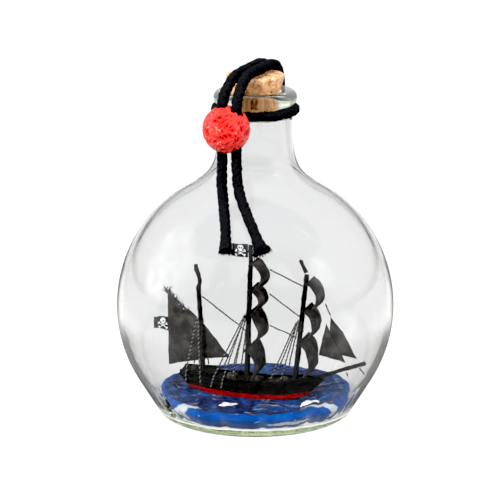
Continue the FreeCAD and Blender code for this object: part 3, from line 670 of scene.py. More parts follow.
TAILS = {
    "left": (
        (-0.011635, -0.021166, 0.100752),
        (-0.011635, -0.021166, 0.0945),
        (-0.0117, -0.0231, 0.0882),
        (-0.0113, -0.0264, 0.0843),
        (-0.0108, -0.0306, 0.0813),
        (-0.0105, -0.0347, 0.0780),
        (-0.0103, -0.0383, 0.0743),
        (-0.0102, -0.0414, 0.0702),
    ),
    "right": (
        (-0.006651, -0.023490, 0.101547),
        (-0.006651, -0.023490, 0.0949),
        (-0.0060, -0.0253, 0.0887),
        (-0.0048, -0.0285, 0.0847),
        (-0.0032, -0.0323, 0.0816),
        (-0.0015, -0.0361, 0.0782),
        (0.0004, -0.0396, 0.0744),
        (0.0023, -0.0426, 0.0702),
    ),
}
TAIL_FLARES = {"left": 0.40, "right": 0.80}
TAIL_SEEDS = {"left": 11, "right": 17}

for side_name, route in TAILS.items():
    line = spline_line(route)
    seed, flare = TAIL_SEEDS[side_name], TAIL_FLARES[side_name]
    room = np.where(line[:, 2] > BEAD_TAIL_Z, MOST_IN_BEAD, 3.9)
    points, faces = laid_rope(line, TIE_RADIUS * 1.02, seed=seed, flare=flare, most=room)
    solid = (off_glass(points), faces)
    tail = new_piece(f"cord_tail_{side_name}", solid, black_cord, f"tail_cord_{side_name}", "tie")
    heading = unit(line[-1] - line[-6])
    hairs = fray(line[-1], heading, TIE_RADIUS * (0.85 + flare), 130, 2.4, seed)
    tuft = new_piece(f"cord_fray_{side_name}", hairs, black_cord, body="tie")


def tie_strand(at_bead, at_cork, at_back):
    """Control points of a strand from under the bead, over the cork, to behind the neck."""
    drop = math.sqrt(BEAD_RADIUS**2 - at_bead**2)
    return [
        tie_point(-BEAD_REACH, at_bead, BEAD_Z - drop),
        tie_point(-BEAD_REACH, at_bead, 112.0),
        tie_point(-BEAD_REACH, at_bead, 118.4),
        tie_point(-20.4, at_bead + (at_cork - at_bead) * 0.35, 123.0),
        tie_point(-13.8, at_cork, 126.6),
        tie_point(-5.0, at_cork * 0.9, 126.85),
        tie_point(4.0, at_back, 126.85),
        tie_point(11.5, at_back, 126.7),
        tie_point(17.2, at_back, 121.8),
        tie_point(17.2, at_back, 114.9),
    ]


STRANDS = {"left": (-1.6, -1.3, -1.95), "right": (3.9, 2.9, 1.95)}
for side_name, offsets in STRANDS.items():
    line = spline_line([tuple(p * MM) for p in tie_strand(*offsets)])
    rope = laid_rope(line, TIE_RADIUS * 1.05, seed=23.0 + offsets[0], most=room_in_bead(line))
    new_piece(f"cord_tie_{side_name}", rope, black_cord, f"tie_cord_{side_name}", "tie")

RING_RADIUS, RING_Z, HITCH_RADIUS = 14.05, 111.9, 3.28
angle = np.linspace(0, TAU, 360, endpoint=False)
line = np.stack([RING_RADIUS * np.cos(angle), RING_RADIUS * np.sin(angle), 0 * angle + RING_Z], 1)
new_piece("cord_neck_ring", laid_rope(line, 1.75, closed=True, seed=31.0), black_cord, "neck_cord_ring")


def hitch_turn(offset):
    """A short turn of cord round the neck ring's own cord, behind the neck."""
    angle = np.radians(np.linspace(-70, 15, 24))[:, None]
    out = np.cos(angle) * TIE_BACK + np.sin(angle) * (0, 0, 1)
    line = tie_point(RING_RADIUS, offset, RING_Z) + HITCH_RADIUS * out
    return laid_rope(line, 1.58, lay=6.0, seed=offset + 40, most=1.6)


new_piece("cord_hitch_turns", joined([hitch_turn(-1.7), hitch_turn(1.7)]), black_cord, "cord_hitch")


# ---- bead


def wrinkled_ball(radius):
    """A ball of piled, worm-like wrinkles, with its outside on the radius."""
    shape = bmesh.new()
    bmesh.ops.create_icosphere(shape, subdivisions=6, radius=1.0)
    points, faces = drained(shape)
    bend = noise_vectors(points, 0.5, 2.0) * 0.30
    ridge = 1 - np.abs(noise_at(points + bend, 0.30, 7.0)) * 3.2
    second = 1 - np.abs(noise_at(points + bend, 0.19, 3.0)) * 2.8
    depth = np.maximum(np.clip(ridge, 0, 1) ** 0.7, 0.8 * np.clip(second, 0, 1) ** 0.7)
    return points * (radius - 0.75 + 0.75 * depth)[:, None], faces, depth


points, faces, depth = wrinkled_ball(BEAD_RADIUS)
solid = (points + tie_point(-BEAD_REACH, 0, BEAD_Z), faces)
bead = new_piece("red_bead_ball", solid, bead_look(), "bead", "bead")
point_values(bead, "crest", depth)


def drill(piece, centre, radius, half):
    """Cuts an upright round bore through a piece."""
    line = centre + np.linspace(-half, half, 3)[:, None] * np.array((0, 0, 1))
    cutter = in_scene("bore", mesh_of("bore", *skin(line, radius, 32)))
    cut = piece.modifiers.new("bore", "BOOLEAN")
    cut.operation, cut.solver, cut.object = "DIFFERENCE", "EXACT", cutter
    bpy.context.view_layer.update()
    drilled = bpy.data.meshes.new_from_object(piece.evaluated_get(bpy.context.evaluated_depsgraph_get()))
    piece.modifiers.remove(cut)
    piece.data = drilled
    bpy.data.objects.remove(cutter)


for at_bead, _, _ in STRANDS.values():
    drill(bead, tie_point(-BEAD_REACH, at_bead, BEAD_Z), BORE_IN_BEAD, BEAD_RADIUS + 1.5)


# ---- ship's frame

SHIP_PLACE = np.array((-2.6, -3.9, 0.0))
SHIP_YAW = math.radians(-17.0)
SHIP_AHEAD = np.array((math.cos(SHIP_YAW), math.sin(SHIP_YAW), 0))
SHIP_PORT = np.array((-math.sin(SHIP_YAW), math.cos(SHIP_YAW), 0))
DECK_Z = 13.6


def in_ship(points):
    """Points given as along, across to port and up, in the bottle's frame."""
    points = np.asarray(points, float).reshape(-1, 3)
    up = points[:, 2:] * np.array((0, 0, 1))
    return SHIP_PLACE + points[:, :1] * SHIP_AHEAD + points[:, 1:2] * SHIP_PORT + up


def from_ship(part):
    points, faces = part
    return in_ship(points), faces


# station along the keel, half beam, keel height and rail height above the deck level
STATIONS = np.array(
    (
        (-25.6, 3.1, 12.7, 0.0),
        (-22.3, 4.1, 8.6, 0.0),
        (-17.0, 4.8, 6.9, 0.0),
        (-10.0, 5.2, 5.7, 0.0),
        (0.0, 5.3, 5.3, 0.0),
        (8.0, 5.0, 5.4, 0.0),
        (15.0, 4.1, 6.3, 0.8),
        (20.0, 2.9, 7.7, 1.6),
        (24.2, 1.5, 10.3, 2.1),
        (28.2, 0.35, 14.6, 2.4),
    )
)


def smooth_through(known, values, at):
    """A smooth curve through known values, with slopes from their neighbours."""
    slope = np.gradient(values, known)
    i = np.clip(np.searchsorted(known, at) - 1, 0, len(known) - 2)
    width = known[i + 1] - known[i]
    t = (at - known[i]) / width
    return (
        (2 * t**3 - 3 * t**2 + 1) * values[i]
        + (t**3 - 2 * t**2 + t) * width * slope[i]
        + (3 * t**2 - 2 * t**3) * values[i + 1]
        + (t**3 - t**2) * width * slope[i + 1]
    )


def hull_mesh():
    """The carved hull: sunk deck inside a bulwark, cap rail, two wales and a round bilge."""
    at = np.linspace(STATIONS[0, 0], STATIONS[-1, 0], 110)
    beam, keel, rise = (smooth_through(STATIONS[:, 0], STATIONS[:, k], at) for k in (1, 2, 3))
    rows = []
    for x, b, k, r in zip(at, beam, keel, np.maximum(rise, 0)):
        top = DECK_Z + r
        inner = max(b - 0.65, 0.5 * b)
        deck = top - min(0.9, 0.35 * (top - k))
        section = [(0, deck + 0.05), (0.5 * inner, deck), (inner, deck), (inner, top), (b + 0.12, top)]
        section += [(b + 0.12, top - 0.4), (b, top - 0.5)]
        for swing in np.radians(np.linspace(6, 90, 20)):
            z = top - 0.5 - (top - 0.5 - k) * math.sin(swing)
            below = (top - z) / (top - k)
            wale = 0.16 if 0.17 < below < 0.24 or 0.36 < below < 0.41 else 0.0
            section.append((b * math.cos(swing) ** 0.5 + wale * min(1, b), z))
        section[-1] = (0.0, k)
        section += [(-y, z) for y, z in reversed(section[1:-1])]
        rows.append([(x, y, z) for y, z in section])
    rows = np.array(rows)
    points, faces = capped(rows, rows[0].mean(axis=0), rows[-1].mean(axis=0))
    points[:, 1] += noise_at(points, 1.6, 4.0) * 0.05
    points[:, 2] += noise_at(points, 2.4, 6.0) * 0.06
    return points, faces


def hull_paint(look):
    """Black topsides over a red bottom, along a hand-painted sheer line."""
    along = look.minus(look.axis(tuple(SHIP_AHEAD)), float(SHIP_AHEAD @ SHIP_PLACE) * MM)
    bow = look.math("POWER", look.math("ABSOLUTE", along), 2.0)
    line = look.plus(look.times(bow, 3.0), 8.5 * MM)
    height = look.plus(look.minus(look.axis((0, 0, 1)), line), look.wander(2.2, 3.0, 0.9 * MM))
    red = look.mottled(1.8, (118, 6, 6), (196, 24, 20), high=0.65)
    black = look.mottled(1.4, (4, 4, 4), (26, 25, 22), low=0.35)
    return look.mix(look.mask(height, -0.1 * MM, 0.1 * MM), red, black)


def spar_paint(look):
    return look.mottled(1.0, (14, 14, 13), (52, 51, 48))


def fitting_paint(look):
    return look.mottled(1.0, (30, 29, 26), (92, 88, 80))


hull_wood = painted_wood("hull_wood", "hull_paint", hull_paint, wear=0.70)
spar_wood = painted_wood("spar_wood", "spar", spar_paint, wear=0.64, stretch=(1.0, 1.0, 0.35))
fitting_wood = painted_wood("fitting_wood", "hull_paint", fitting_paint)

new_piece("ship_hull", from_ship(hull_mesh()), hull_wood, "hull", sharp=38)


def rounded_box(low, high, seed):
    """A small worked block with eased edges."""
    low, high = np.array(low), np.array(high)
    shape = bmesh.new()
    bmesh.ops.create_cube(shape, size=1.0)
    for v in shape.verts:
        v.co = Vector((low + high) / 2 + np.array(v.co) * (high - low))
    bmesh.ops.bevel(shape, geom=shape.edges, offset=0.12, segments=2, affect="EDGES")
    bmesh.ops.subdivide_edges(shape, edges=shape.edges, cuts=2, use_grid_fill=True)
    points, faces = drained(shape)
    return points + noise_vectors(points, 1.3, seed) * 0.16, faces


PLANK_Z, RAIL_Z = 14.5, 15.0


def deck_slab():
    """The raised quarterdeck: planks laid fore and aft inside a low rail."""
    at = np.linspace(-25.3, -12.5, 40)
    half = np.interp(at, (-25.4, -22.3, -17.0, -12.4), (3.0, 3.95, 4.65, 5.0))
    across = []
    for plank in np.linspace(-1, 1, 9)[:-1]:
        across += [(plank + 0.015, 0.0), (plank + 0.03, 0.09), (plank + 0.22, 0.09), (plank + 0.235, 0.0)]
    rows = []
    for x, w in zip(at, half):
        planks = [(x, 0.88 * w * y, PLANK_Z + z) for y, z in across]
        rail = [(x, w, DECK_Z), (x, w, RAIL_Z), (x, 0.9 * w, RAIL_Z)]
        rows.append([(x, -y, z) for x, y, z in rail] + planks + rail[::-1])
    rows = np.array(rows)
    columns = rows.shape[1]
    faces = grid_faces(len(rows), columns, wrap_columns=True)
    faces.append(tuple(range(columns)))
    faces.append(tuple((len(rows) - 1) * columns + j for j in range(columns)))
    points = rows.reshape(-1, 3)
    return points + noise_vectors(points, 2.0, 3.0) * 0.04, faces


new_piece("ship_quarterdeck", from_ship(deck_slab()), hull_wood, "quarterdeck", sharp=38)

DECK_LUMPS = (
    ((8.6, -2.4, 12.6), (10.0, -0.9, 14.3)),
    ((11.2, -2.8, 12.6), (12.6, -1.6, 14.1)),
    ((12.9, 0.2, 12.6), (14.9, 1.7, 14.4)),
    ((-7.6, -1.7, 12.5), (-4.2, 1.7, 14.2)),
    ((3.0, -1.2, 12.5), (5.6, 1.2, 14.0)),
    ((-21.6, -1.3, 14.4), (-19.4, 1.3, 15.8)),
)
blocks = joined([rounded_box(*corners, i) for i, corners in enumerate(DECK_LUMPS)])
new_piece("ship_deck_fittings", from_ship(blocks), fitting_wood)


# ---- masts and yards


def spar(start, end, radius_start, radius_end, seed, sides=16, bands=(), tip_bend=0.0):
    """A whittled spar; bands are (share of its length, added radius, width) of lashings."""
    start, end = np.array(start), np.array(end)
    length = np.linalg.norm(end - start)
    t = np.linspace(0, 1, max(8, round(length / 0.35)))
    line = start + (end - start) * t[:, None]
    line += noise_vectors(line, 9.0, seed) * 0.10
    line[:, 0] += tip_bend * np.sin(np.clip((t - 0.80) / 0.20, 0, 1) * TAU * 0.8)
    radius = radius_start + (radius_end - radius_start) * t
    for share, added, width in bands:
        near = np.abs(t - share) * length
        wound = added * (0.8 + 0.2 * np.cos(near * TAU / 0.45))
        radius = radius + np.where(near < width / 2, wound, 0)
    return skin(line, radius + noise_at(line, 1.1, seed + 2) * 0.10, sides)


MAIN_FOOT, MAIN_TOP = (-0.4, 13.6), (1.1, 62.7)
FORE_FOOT, FORE_TOP = (17.6, 14.6), (21.9, 53.5)
YARD_AHEAD = 1.35


def yard_reach(foot, top, height):
    """How far forward the axis of a yard is that lies before a mast at a height."""
    return foot[0] + (top[0] - foot[0]) * (height - foot[1]) / (top[1] - foot[1]) + YARD_AHEAD


# node, start and end, radius at each, seed and bend of the tip
MASTS = (
    ("main_mast", (-0.4, 0, 12.0), (1.1, 0, 62.7), 1.05, 0.8, 1.0, 0.15),
    ("fore_mast", (17.6, 0, 13.0), (21.9, 0, 53.5), 1.0, 0.8, 2.0, 0.0),
    ("mizzen_mast", (-17.0, 0, 11.8), (-19.1, 0, 54.2), 0.95, 0.75, 3.0, 0.6),
    ("bowsprit", (24.9, 0, 15.1), (43.4, 0, 22.7), 0.8, 0.6, 4.0, 0.0),
    ("fore_topmast", (21.7, 0, 54.25), (19.4, 0, 58.6), 0.75, 0.55, 5.0, 0.2),
)
MAST_BANDS = (
    (0.28, 0.16, 1.6), (0.50, 0.18, 1.8), (0.62, 0.14, 1.2), (0.78, 0.16, 1.4), (0.96, 0.15, 1.0),
)
SHORT_BANDS = ((0.3, 0.1, 0.8), (0.9, 0.1, 0.8))
YARD_BANDS = [(t, 0.10, 0.5) for t in (0.06, 0.2, 0.35, 0.5, 0.65, 0.8, 0.94)]
for node, start, end, low, high, seed, bend in MASTS:
    bands = SHORT_BANDS if node in ("bowsprit", "fore_topmast") else MAST_BANDS
    mast = spar(start, end, low, high, seed, bands=bands, tip_bend=bend)
    new_piece(f"ship_{node}", from_ship(mast), spar_wood, node)

# name, mast foot and top, height of the yard, drop to the foot, width and depth of belly
SQUARE_SAILS = (
    ("main_course", MAIN_FOOT, MAIN_TOP, 25.8, 10.6, 16.0, 2.6),
    ("main_topsail", MAIN_FOOT, MAIN_TOP, 38.6, 10.2, 14.0, 3.6),
    ("main_topgallant_sail", MAIN_FOOT, MAIN_TOP, 47.2, 7.4, 11.5, 3.0),
    ("main_royal", MAIN_FOOT, MAIN_TOP, 56.6, 8.4, 10.0, 3.8),
    ("fore_course", FORE_FOOT, FORE_TOP, 29.4, 12.0, 14.5, 4.0),
    ("fore_topsail", FORE_FOOT, FORE_TOP, 41.0, 9.2, 12.5, 3.6),
    ("fore_topgallant_sail", FORE_FOOT, FORE_TOP, 51.0, 8.6, 10.5, 3.6),
)


# ---- cloth

SAIL_THICKNESS, FLAG_THICKNESS = 0.3, 0.24
HEAD_AHEAD, FOOT_AHEAD = 0.45, 2.0  # how far before its yard a square sail hangs


def thick_sheet(grid, thickness):
    """A closed thin sheet from rows of points, thickened along its own normals."""
    normal = np.cross(np.gradient(grid, axis=0), np.gradient(grid, axis=1))
    normal /= np.maximum(np.linalg.norm(normal, axis=2)[..., None], 1e-9)
    back = (grid + normal * thickness).reshape(-1, 3)
    return closed_sheet(grid.reshape(-1, 3), back, grid_faces(*grid.shape[:2]))


def belly_arc(drop, belly):
    """The chord, radius and half angle of a square sail's belly."""
    chord = math.hypot(FOOT_AHEAD - HEAD_AHEAD, drop)
    radius = (chord**2 / 4 + belly**2) / (2 * belly)
    return chord, radius, math.asin(min(1.0, chord / 2 / radius))


def square_sail(yard_x, yard_z, drop, width, belly, seed):
    """A cloth that fills forward from its yard, slack at the leeches, creased and uneven."""
    rows, columns = 34, 44
    head = np.array((yard_x + HEAD_AHEAD, yard_z))
    low = np.array((yard_x + FOOT_AHEAD, yard_z - drop))
    chord, radius, half = belly_arc(drop, belly)
    down = (low - head) / chord
    s, w = np.meshgrid(np.linspace(-1, 1, rows), np.linspace(-1, 1, columns), indexing="ij")
    swell = radius * (np.cos(s * half) - math.cos(half)) * (1 - 0.40 * w * w)
    along = radius * np.sin(s * half)
    middle = (head + low) / 2
    x = middle[0] + down[0] * along - down[1] * swell
    z = middle[1] + down[1] * along + down[0] * swell
    grid = np.stack([x, w * width / 2 * (1 - 0.08 * (1 - np.abs(s))), z], axis=2)

    def uneven(stretch, cell, seed):
        return noise_at(grid.reshape(-1, 3) * stretch, cell, seed).reshape(rows, columns)

    share = (s + 1) / 2
    crease, fold = uneven((1, 1, 0.5), 2.6, seed), uneven((1, 0.8, 1), 5.0, seed + 5)
    grid[..., 0] += (0.55 * crease + 0.9 * fold) * np.minimum(1, share * 3)
    grid[..., 2] += 0.5 * fold * share * np.abs(w) + 0.5 * np.cos(w * math.pi * 2.5) * share**4
    grid[..., 1] += 0.35 * uneven((1, 1, 1), 3.2, seed + 9) * np.abs(w)
    return thick_sheet(grid, SAIL_THICKNESS)


sailcloth = cloth_look("sailcloth", "sailcloth", (38, 37, 37), (58, 56, 55), (92, 88, 84))

for number, (name, foot, top, yard_z, drop, width, belly) in enumerate(SQUARE_SAILS):
    yard_x = yard_reach(foot, top, yard_z)
    node = f"{name.replace('_sail', '')}_yard"
    ends = [(yard_x, end * (width / 2 + 1.0), yard_z) for end in (-1, 1)]
    yard = spar(*ends, 0.4, 0.4, 60.0 + number, sides=10, bands=YARD_BANDS)
    new_piece(f"ship_{node}", from_ship(yard), spar_wood, node)
    cloth = from_ship(square_sail(yard_x, yard_z, drop, width, belly, 70.0 + 3 * number))
    sail = new_piece(f"ship_{name}_cloth", cloth, sailcloth, name, sharp=60)


def flat_cloth(outline, across, seed, torn=None):
    """A cloth cut to an outline in the ship's centre plane, with waves out of that plane.

    torn gives the corner round which the cloth is ragged, how far that reaches and how deep."""
    random = np.random.default_rng(seed)
    edge = []
    middle = np.mean(outline, axis=0)
    for i, (a, b) in enumerate(zip(outline, outline[1:] + outline[:1])):
        a, run = np.array(a), np.array(b) - np.array(a)
        count = max(2, round(np.linalg.norm(run) / (0.45 if torn else 0.8)))
        inward = unit((-run[1], run[0]))
        if inward @ (middle - a) < 0:
            inward = -inward
        for k in range(count):
            point = a + run * k / count
            depth = 0.0 if k == 0 else abs(random.normal(0, 0.06))
            near = 1 - np.linalg.norm(point - torn[0]) / torn[1] if torn else 0.0
            if near > 0 and k and i == 0:
                depth = (1.2 - near) * torn[2] * random.choice((0.05, 0.2, 0.6, 1.0))
            edge.append(point + inward * depth)
    edge = np.array(edge)
    low, high = edge.min(axis=0), edge.max(axis=0)
    inner = []
    for x in np.arange(low[0], high[0], 0.8):
        for z in np.arange(low[1], high[1], 0.8):
            inner.append((x + random.normal(0, 0.08), z + random.normal(0, 0.08)))
    inner = [p for p in inner if inside_outline(p, edge)]
    loop = [(i, (i + 1) % len(edge)) for i in range(len(edge))]
    found = geometry.delaunay_2d_cdt([Vector(p) for p in [*edge, *inner]], loop, [], 1, 1e-4)
    flat, triangles = np.array(found[0]), [tuple(f) for f in found[2]]
    front = np.stack([flat[:, 0], np.full(len(flat), across), flat[:, 1]], axis=1)
    front[:, 1] += 0.35 * (noise_at(front, 7.0, seed) * 1.2 + noise_at(front, 2.5, seed + 3) * 0.5)
    return closed_sheet(front, front + (0, SAIL_THICKNESS, 0), triangles)


def inside_outline(point, edge):
    """Whether a point is inside a closed outline and clear of it."""
    x, z = point
    a, b = edge, np.roll(edge, -1, axis=0)
    crossing = (a[:, 1] > z) != (b[:, 1] > z)
    at = a[:, 0] + (z - a[:, 1]) * (b[:, 0] - a[:, 0]) / np.where(crossing, b[:, 1] - a[:, 1], 1)
    inside = np.sum(crossing & (x < at)) % 2 == 1
    run = b - a
    t = np.clip(((np.array(point) - a) * run).sum(1) / np.maximum((run**2).sum(1), 1e-9), 0, 1)
    gap = np.linalg.norm(a + run * t[:, None] - point, axis=1).min()
    return inside and gap > 0.3


# name, outline, place across the ship, and the corner that is torn, how far and how deep
MIZZEN_PEAK = (-31.2, 43.4)
MIZZEN_OUTLINE = [MIZZEN_PEAK, (-17.4, 32.0), (-7.4, 19.8), (-16.3, 18.6), (-31.0, 14.8)]
INNER_OUTLINE = [(29.4, 36.2), (26.7, 24.4), (36.6, 22.4)]
OUTER_OUTLINE = [(30.6, 38.6), (30.2, 25.6), (40.4, 24.0), (35.4, 33.2)]
FLAT_SAILS = (
    ("mizzen_sail", MIZZEN_OUTLINE, 1.35, (MIZZEN_PEAK, 10.0, 1.6)),
    ("inner_jib", INNER_OUTLINE, -0.9, None),
    ("outer_jib", OUTER_OUTLINE, 0.0, None),
)


for number, (name, outline, across, torn) in enumerate(FLAT_SAILS):
    solid = from_ship(flat_cloth(outline, across - SAIL_THICKNESS / 2, 90 + number, torn))
    cloth = new_piece(f"ship_{name}_cloth", solid, sailcloth, name, sharp=60)


def loose_yarns(start, end, across, count, seed):
    """Yarns that stand out of a ragged edge, longest and thickest together near its start."""
    random = np.random.default_rng(seed)
    start, end = np.array((start[0], across, start[1])), np.array((end[0], across, end[1]))
    yarns = []
    for _ in range(count):
        share = random.uniform(0, 1) ** 1.8
        root = start + (end - start) * share + (0.4, 0.15, -0.8)
        lean = np.array((random.normal(-0.35, 0.35), random.normal(0, 0.15), random.uniform(0.7, 1.2)))
        long = random.uniform(1.2, 3.4) * (1 - 0.5 * share)
        at = np.linspace(0, 1, 7)[:, None]
        bend = np.array((random.normal(0, 0.25), random.normal(0, 0.1), 0))
        yarns.append(skin(root + lean * long * at + bend * long * at**2, np.linspace(0.16, 0.06, 7), 6))
    return joined(yarns)


yarns = loose_yarns((-31.2, 42.6), (-23.0, 36.2), 1.2, 110, 8)
new_piece("ship_mizzen_sail_yarns", from_ship(yarns), sailcloth)


# ---- flags


def flag_wave(x, z, seed):
    return 0.45 * np.sin(x * 1.1 + seed) + 0.15 * np.sin(z * 1.7 + 2 * seed)


def flag_grid(corners, across, seed):
    """A waving flag between four corners: upper fly, lower fly, lower hoist, upper hoist."""
    fly_top, fly_low, hoist_low, hoist_top = np.array(corners)
    v, u = np.meshgrid(np.linspace(0, 1, 14), np.linspace(0, 1, 20), indexing="ij")
    u, v = u[..., None], v[..., None]
    top = hoist_top + (fly_top - hoist_top) * u
    low = hoist_low + (fly_low - hoist_low) * u
    x, z = np.split(top + (low - top) * v, 2, axis=2)
    grid = np.concatenate([x, across + flag_wave(x, z, seed) * (0.2 + u), z], axis=2)
    return thick_sheet(grid, FLAG_THICKNESS)


def oval(centre, radius_x, radius_z, count=20):
    angle = np.arange(count) * TAU / count
    return [(centre[0] + radius_x * math.cos(a), centre[1] + radius_z * math.sin(a)) for a in angle]


def emblem_shapes(centre, size):
    """The outlines of a generic skull over two crossed bones: pale ones, and the sockets."""

    def spot(x, z):
        return (centre[0] + x * size, centre[1] + z * size)

    pale = [oval(spot(0, 0.30), 0.36 * size, 0.34 * size), oval(spot(0, -0.02), 0.21 * size, 0.17 * size)]
    for angle in (0.5, math.pi - 0.5):
        c, s = math.cos(angle), math.sin(angle)

        def on_bone(along, aside):
            return spot(along * c - aside * s, -0.38 + along * s + aside * c)

        bar = [on_bone(t, -0.055) for t in np.linspace(-0.6, 0.6, 9)]
        pale.append(bar + [on_bone(t, 0.055) for t in np.linspace(0.6, -0.6, 9)])
        for end in (-0.6, 0.6):
            pale += [oval(on_bone(end, side), 0.10 * size, 0.10 * size, 10) for side in (-0.075, 0.075)]
    sockets = [oval(spot(side, 0.27), 0.095 * size, 0.11 * size, 12) for side in (-0.14, 0.14)]
    return pale, [*sockets, oval(spot(0, 0.10), 0.04 * size, 0.07 * size, 8)]


def laid_on_flag(outlines, height, corners, across, seed):
    """Raised shapes on both faces of a waving flag."""
    hoist, fly = corners[3][0], corners[0][0]
    parts = []
    for facing, face_at in ((-1, 0.0), (1, FLAG_THICKNESS)):
        for outline in outlines:
            x, z = np.array([*outline, np.mean(outline, axis=0)]).T
            y = across + flag_wave(x, z, seed) * (0.2 + (x - hoist) / (fly - hoist)) + face_at
            low, high = (np.stack([x, y + facing * lift, z], axis=1) for lift in (-0.02, height))
            count = len(outline)
            parts.append(closed_sheet(low, high, [(j, (j + 1) % count, count) for j in range(count)]))
    return from_ship(joined(parts))


STERN_CORNERS = [(-36.6, 32.8), (-36.9, 28.4), (-31.2, 27.9), (-31.2, 33.1)]
MAIN_CORNERS = [(-6.0, 62.9), (-6.2, 58.4), (-0.1, 58.2), (-0.1, 63.0)]
EMBLEM_SIZE = 2.9
# node, corners, place across the ship, seed and the emblem's centre
FLAGS = (
    ("stern_flag", STERN_CORNERS, 1.8, 1.0, (-33.3, 30.7)),
    ("main_flag", MAIN_CORNERS, 0.0, 2.2, (-2.8, 60.9)),
)
flag_cloth = cloth_look("flag_cloth", "flag", (18, 18, 19), (34, 34, 36), (70, 70, 72))
white_paint = foam_look()
for name, corners, across, seed, centre in FLAGS:
    where = (corners, across - FLAG_THICKNESS / 2, seed)
    new_piece(f"ship_{name}_cloth", from_ship(flag_grid(*where)), flag_cloth, name, sharp=60)
    pale, sockets = emblem_shapes(centre, EMBLEM_SIZE)
    new_piece(f"ship_{name}_emblem", laid_on_flag(pale, 0.06, *where), white_paint, sharp=50)
    new_piece(f"ship_{name}_sockets", laid_on_flag(sockets, 0.09, *where), flag_cloth, sharp=50)


# ---- threads

THREAD_LAY, THREAD_RADIUS, THREAD_SIDES = 1.5, 0.24, 10


def twisted_thread(start, end, seed):
    """A two-ply thread between two points, with the ply that each point is on."""
    start, end = np.array(start), np.array(end)
    length = np.linalg.norm(end - start)
    t = np.linspace(0, 1, max(4, round(length / 0.16)))[:, None]
    line = start + (end - start) * t
    line = line + noise_vectors(line, 3.0, seed) * 0.06 * np.minimum(1, 8 * np.minimum(t, 1 - t))
    turn = np.arange(THREAD_SIDES) * TAU / THREAD_SIDES - TAU * t * length / THREAD_LAY
    points, faces = skin(line, THREAD_RADIUS * (0.78 + 0.34 * np.abs(np.cos(turn))), THREAD_SIDES)
    return points, faces, np.concatenate([np.cos(turn).ravel(), (0.0, 0.0)])


def mirrored(runs):
    return [tuple((x, -y, z) for x, y, z in run) for run in runs]


MAIN_SHROUDS = [
    ((-0.9, -1.3, 37.2), (-11.4, -5.65, 13.9)),
    ((-11.5, -5.55, 13.5), (-12.6, -5.4, 9.8)),
    ((-0.6, -1.3, 37.2), (-7.8, -5.7, 13.9)),
    ((-7.9, -5.6, 13.5), (-8.6, -5.5, 9.8)),
    ((-0.3, -1.3, 37.0), (-4.4, -5.0, 13.9)),
]
FORE_SHROUDS = [
    ((18.5, -1.3, 36.0), (9.6, -4.7, 14.4)),
    ((18.8, -1.3, 35.8), (13.6, -4.2, 14.9)),
]
MIZZEN_SHROUDS = [
    ((-18.9, -1.9, 34.5), (-22.2, -4.6, 15.3)),
    ((-22.3, -4.5, 14.9), (-22.6, -4.4, 10.6)),
    ((-18.4, -1.9, 34.5), (-16.8, -5.2, 15.3)),
    ((-16.8, -5.1, 14.9), (-16.6, -5.1, 10.6)),
]
MAST_STAYS = [
    ((-17.4, 0.0, 42.4), (-0.9, 0.0, 30.9)),
    ((8.1, 0.0, 54.4), (20.6, 0.0, 49.0)),
    ((8.0, 0.0, 45.4), (19.2, 0.0, 37.8)),
    ((8.2, 0.0, 33.6), (18.3, 0.0, 29.9)),
]
JIB_STAYS = [
    ((28.9, 0.0, 43.2), (30.7, 0.0, 39.1)),
    ((41.3, 0.0, 20.8), (43.0, 0.0, 18.6)),
    ((36.9, -0.9, 18.9), (37.6, -0.9, 17.4)),
]


def thread_look():
    """A dark ply and a pale ply twisted together: the pale ply is a painted highlight along the twist."""
    look = Look("rigging_thread", "thread", Roughness=0.8, Specular_IOR_Level=0.1)
    ply = look.node("Attribute", {}, "Fac", attribute_name="ply")
    fibre = look.noise(0.25, 4.0, 0.7)
    dark = look.ramp(fibre, (0.3, (8, 8, 8)), (0.65, (44, 43, 40)))
    # painted highlight: the pale ply stands for light caught along the twisted thread
    pale = look.ramp(fibre, (0.3, (90, 88, 84)), (0.65, (176, 174, 168)))
    colour = look.mix(look.mask(ply, 0.25, 0.45), dark, pale)
    return look.finish(colour, None, look.bump(fibre, 0.06, 0.7))


thread = thread_look()
RIGGING = (
    ("main_shrouds", MAIN_SHROUDS + mirrored(MAIN_SHROUDS)),
    ("fore_shrouds", FORE_SHROUDS + mirrored(FORE_SHROUDS)),
    ("mizzen_shrouds", MIZZEN_SHROUDS + mirrored(MIZZEN_SHROUDS)),
    ("mast_stays", MAST_STAYS),
    ("jib_stays", JIB_STAYS),
)
for group, (node, runs) in enumerate(RIGGING):
    threads = [twisted_thread(*run, 10.0 * group + i) for i, run in enumerate(runs)]
    solid = from_ship(joined([(points, faces) for points, faces, _ in threads]))
    piece = new_piece(f"ship_{node}_threads", solid, thread, node)
    point_values(piece, "ply", np.concatenate([ply for _, _, ply in threads]))


# ---- sea

SEA_FOOT, SEA_RIM, SEA_RIM_Z, SEA_MIDDLE_Z, SEA_UNDER_Z = 31.8, 35.2, 9.4, 6.2, 3.45
SEA_SEGMENTS = 240
SEA_DISH_ROWS, SEA_RIM_TOP_ROWS = 60, 5


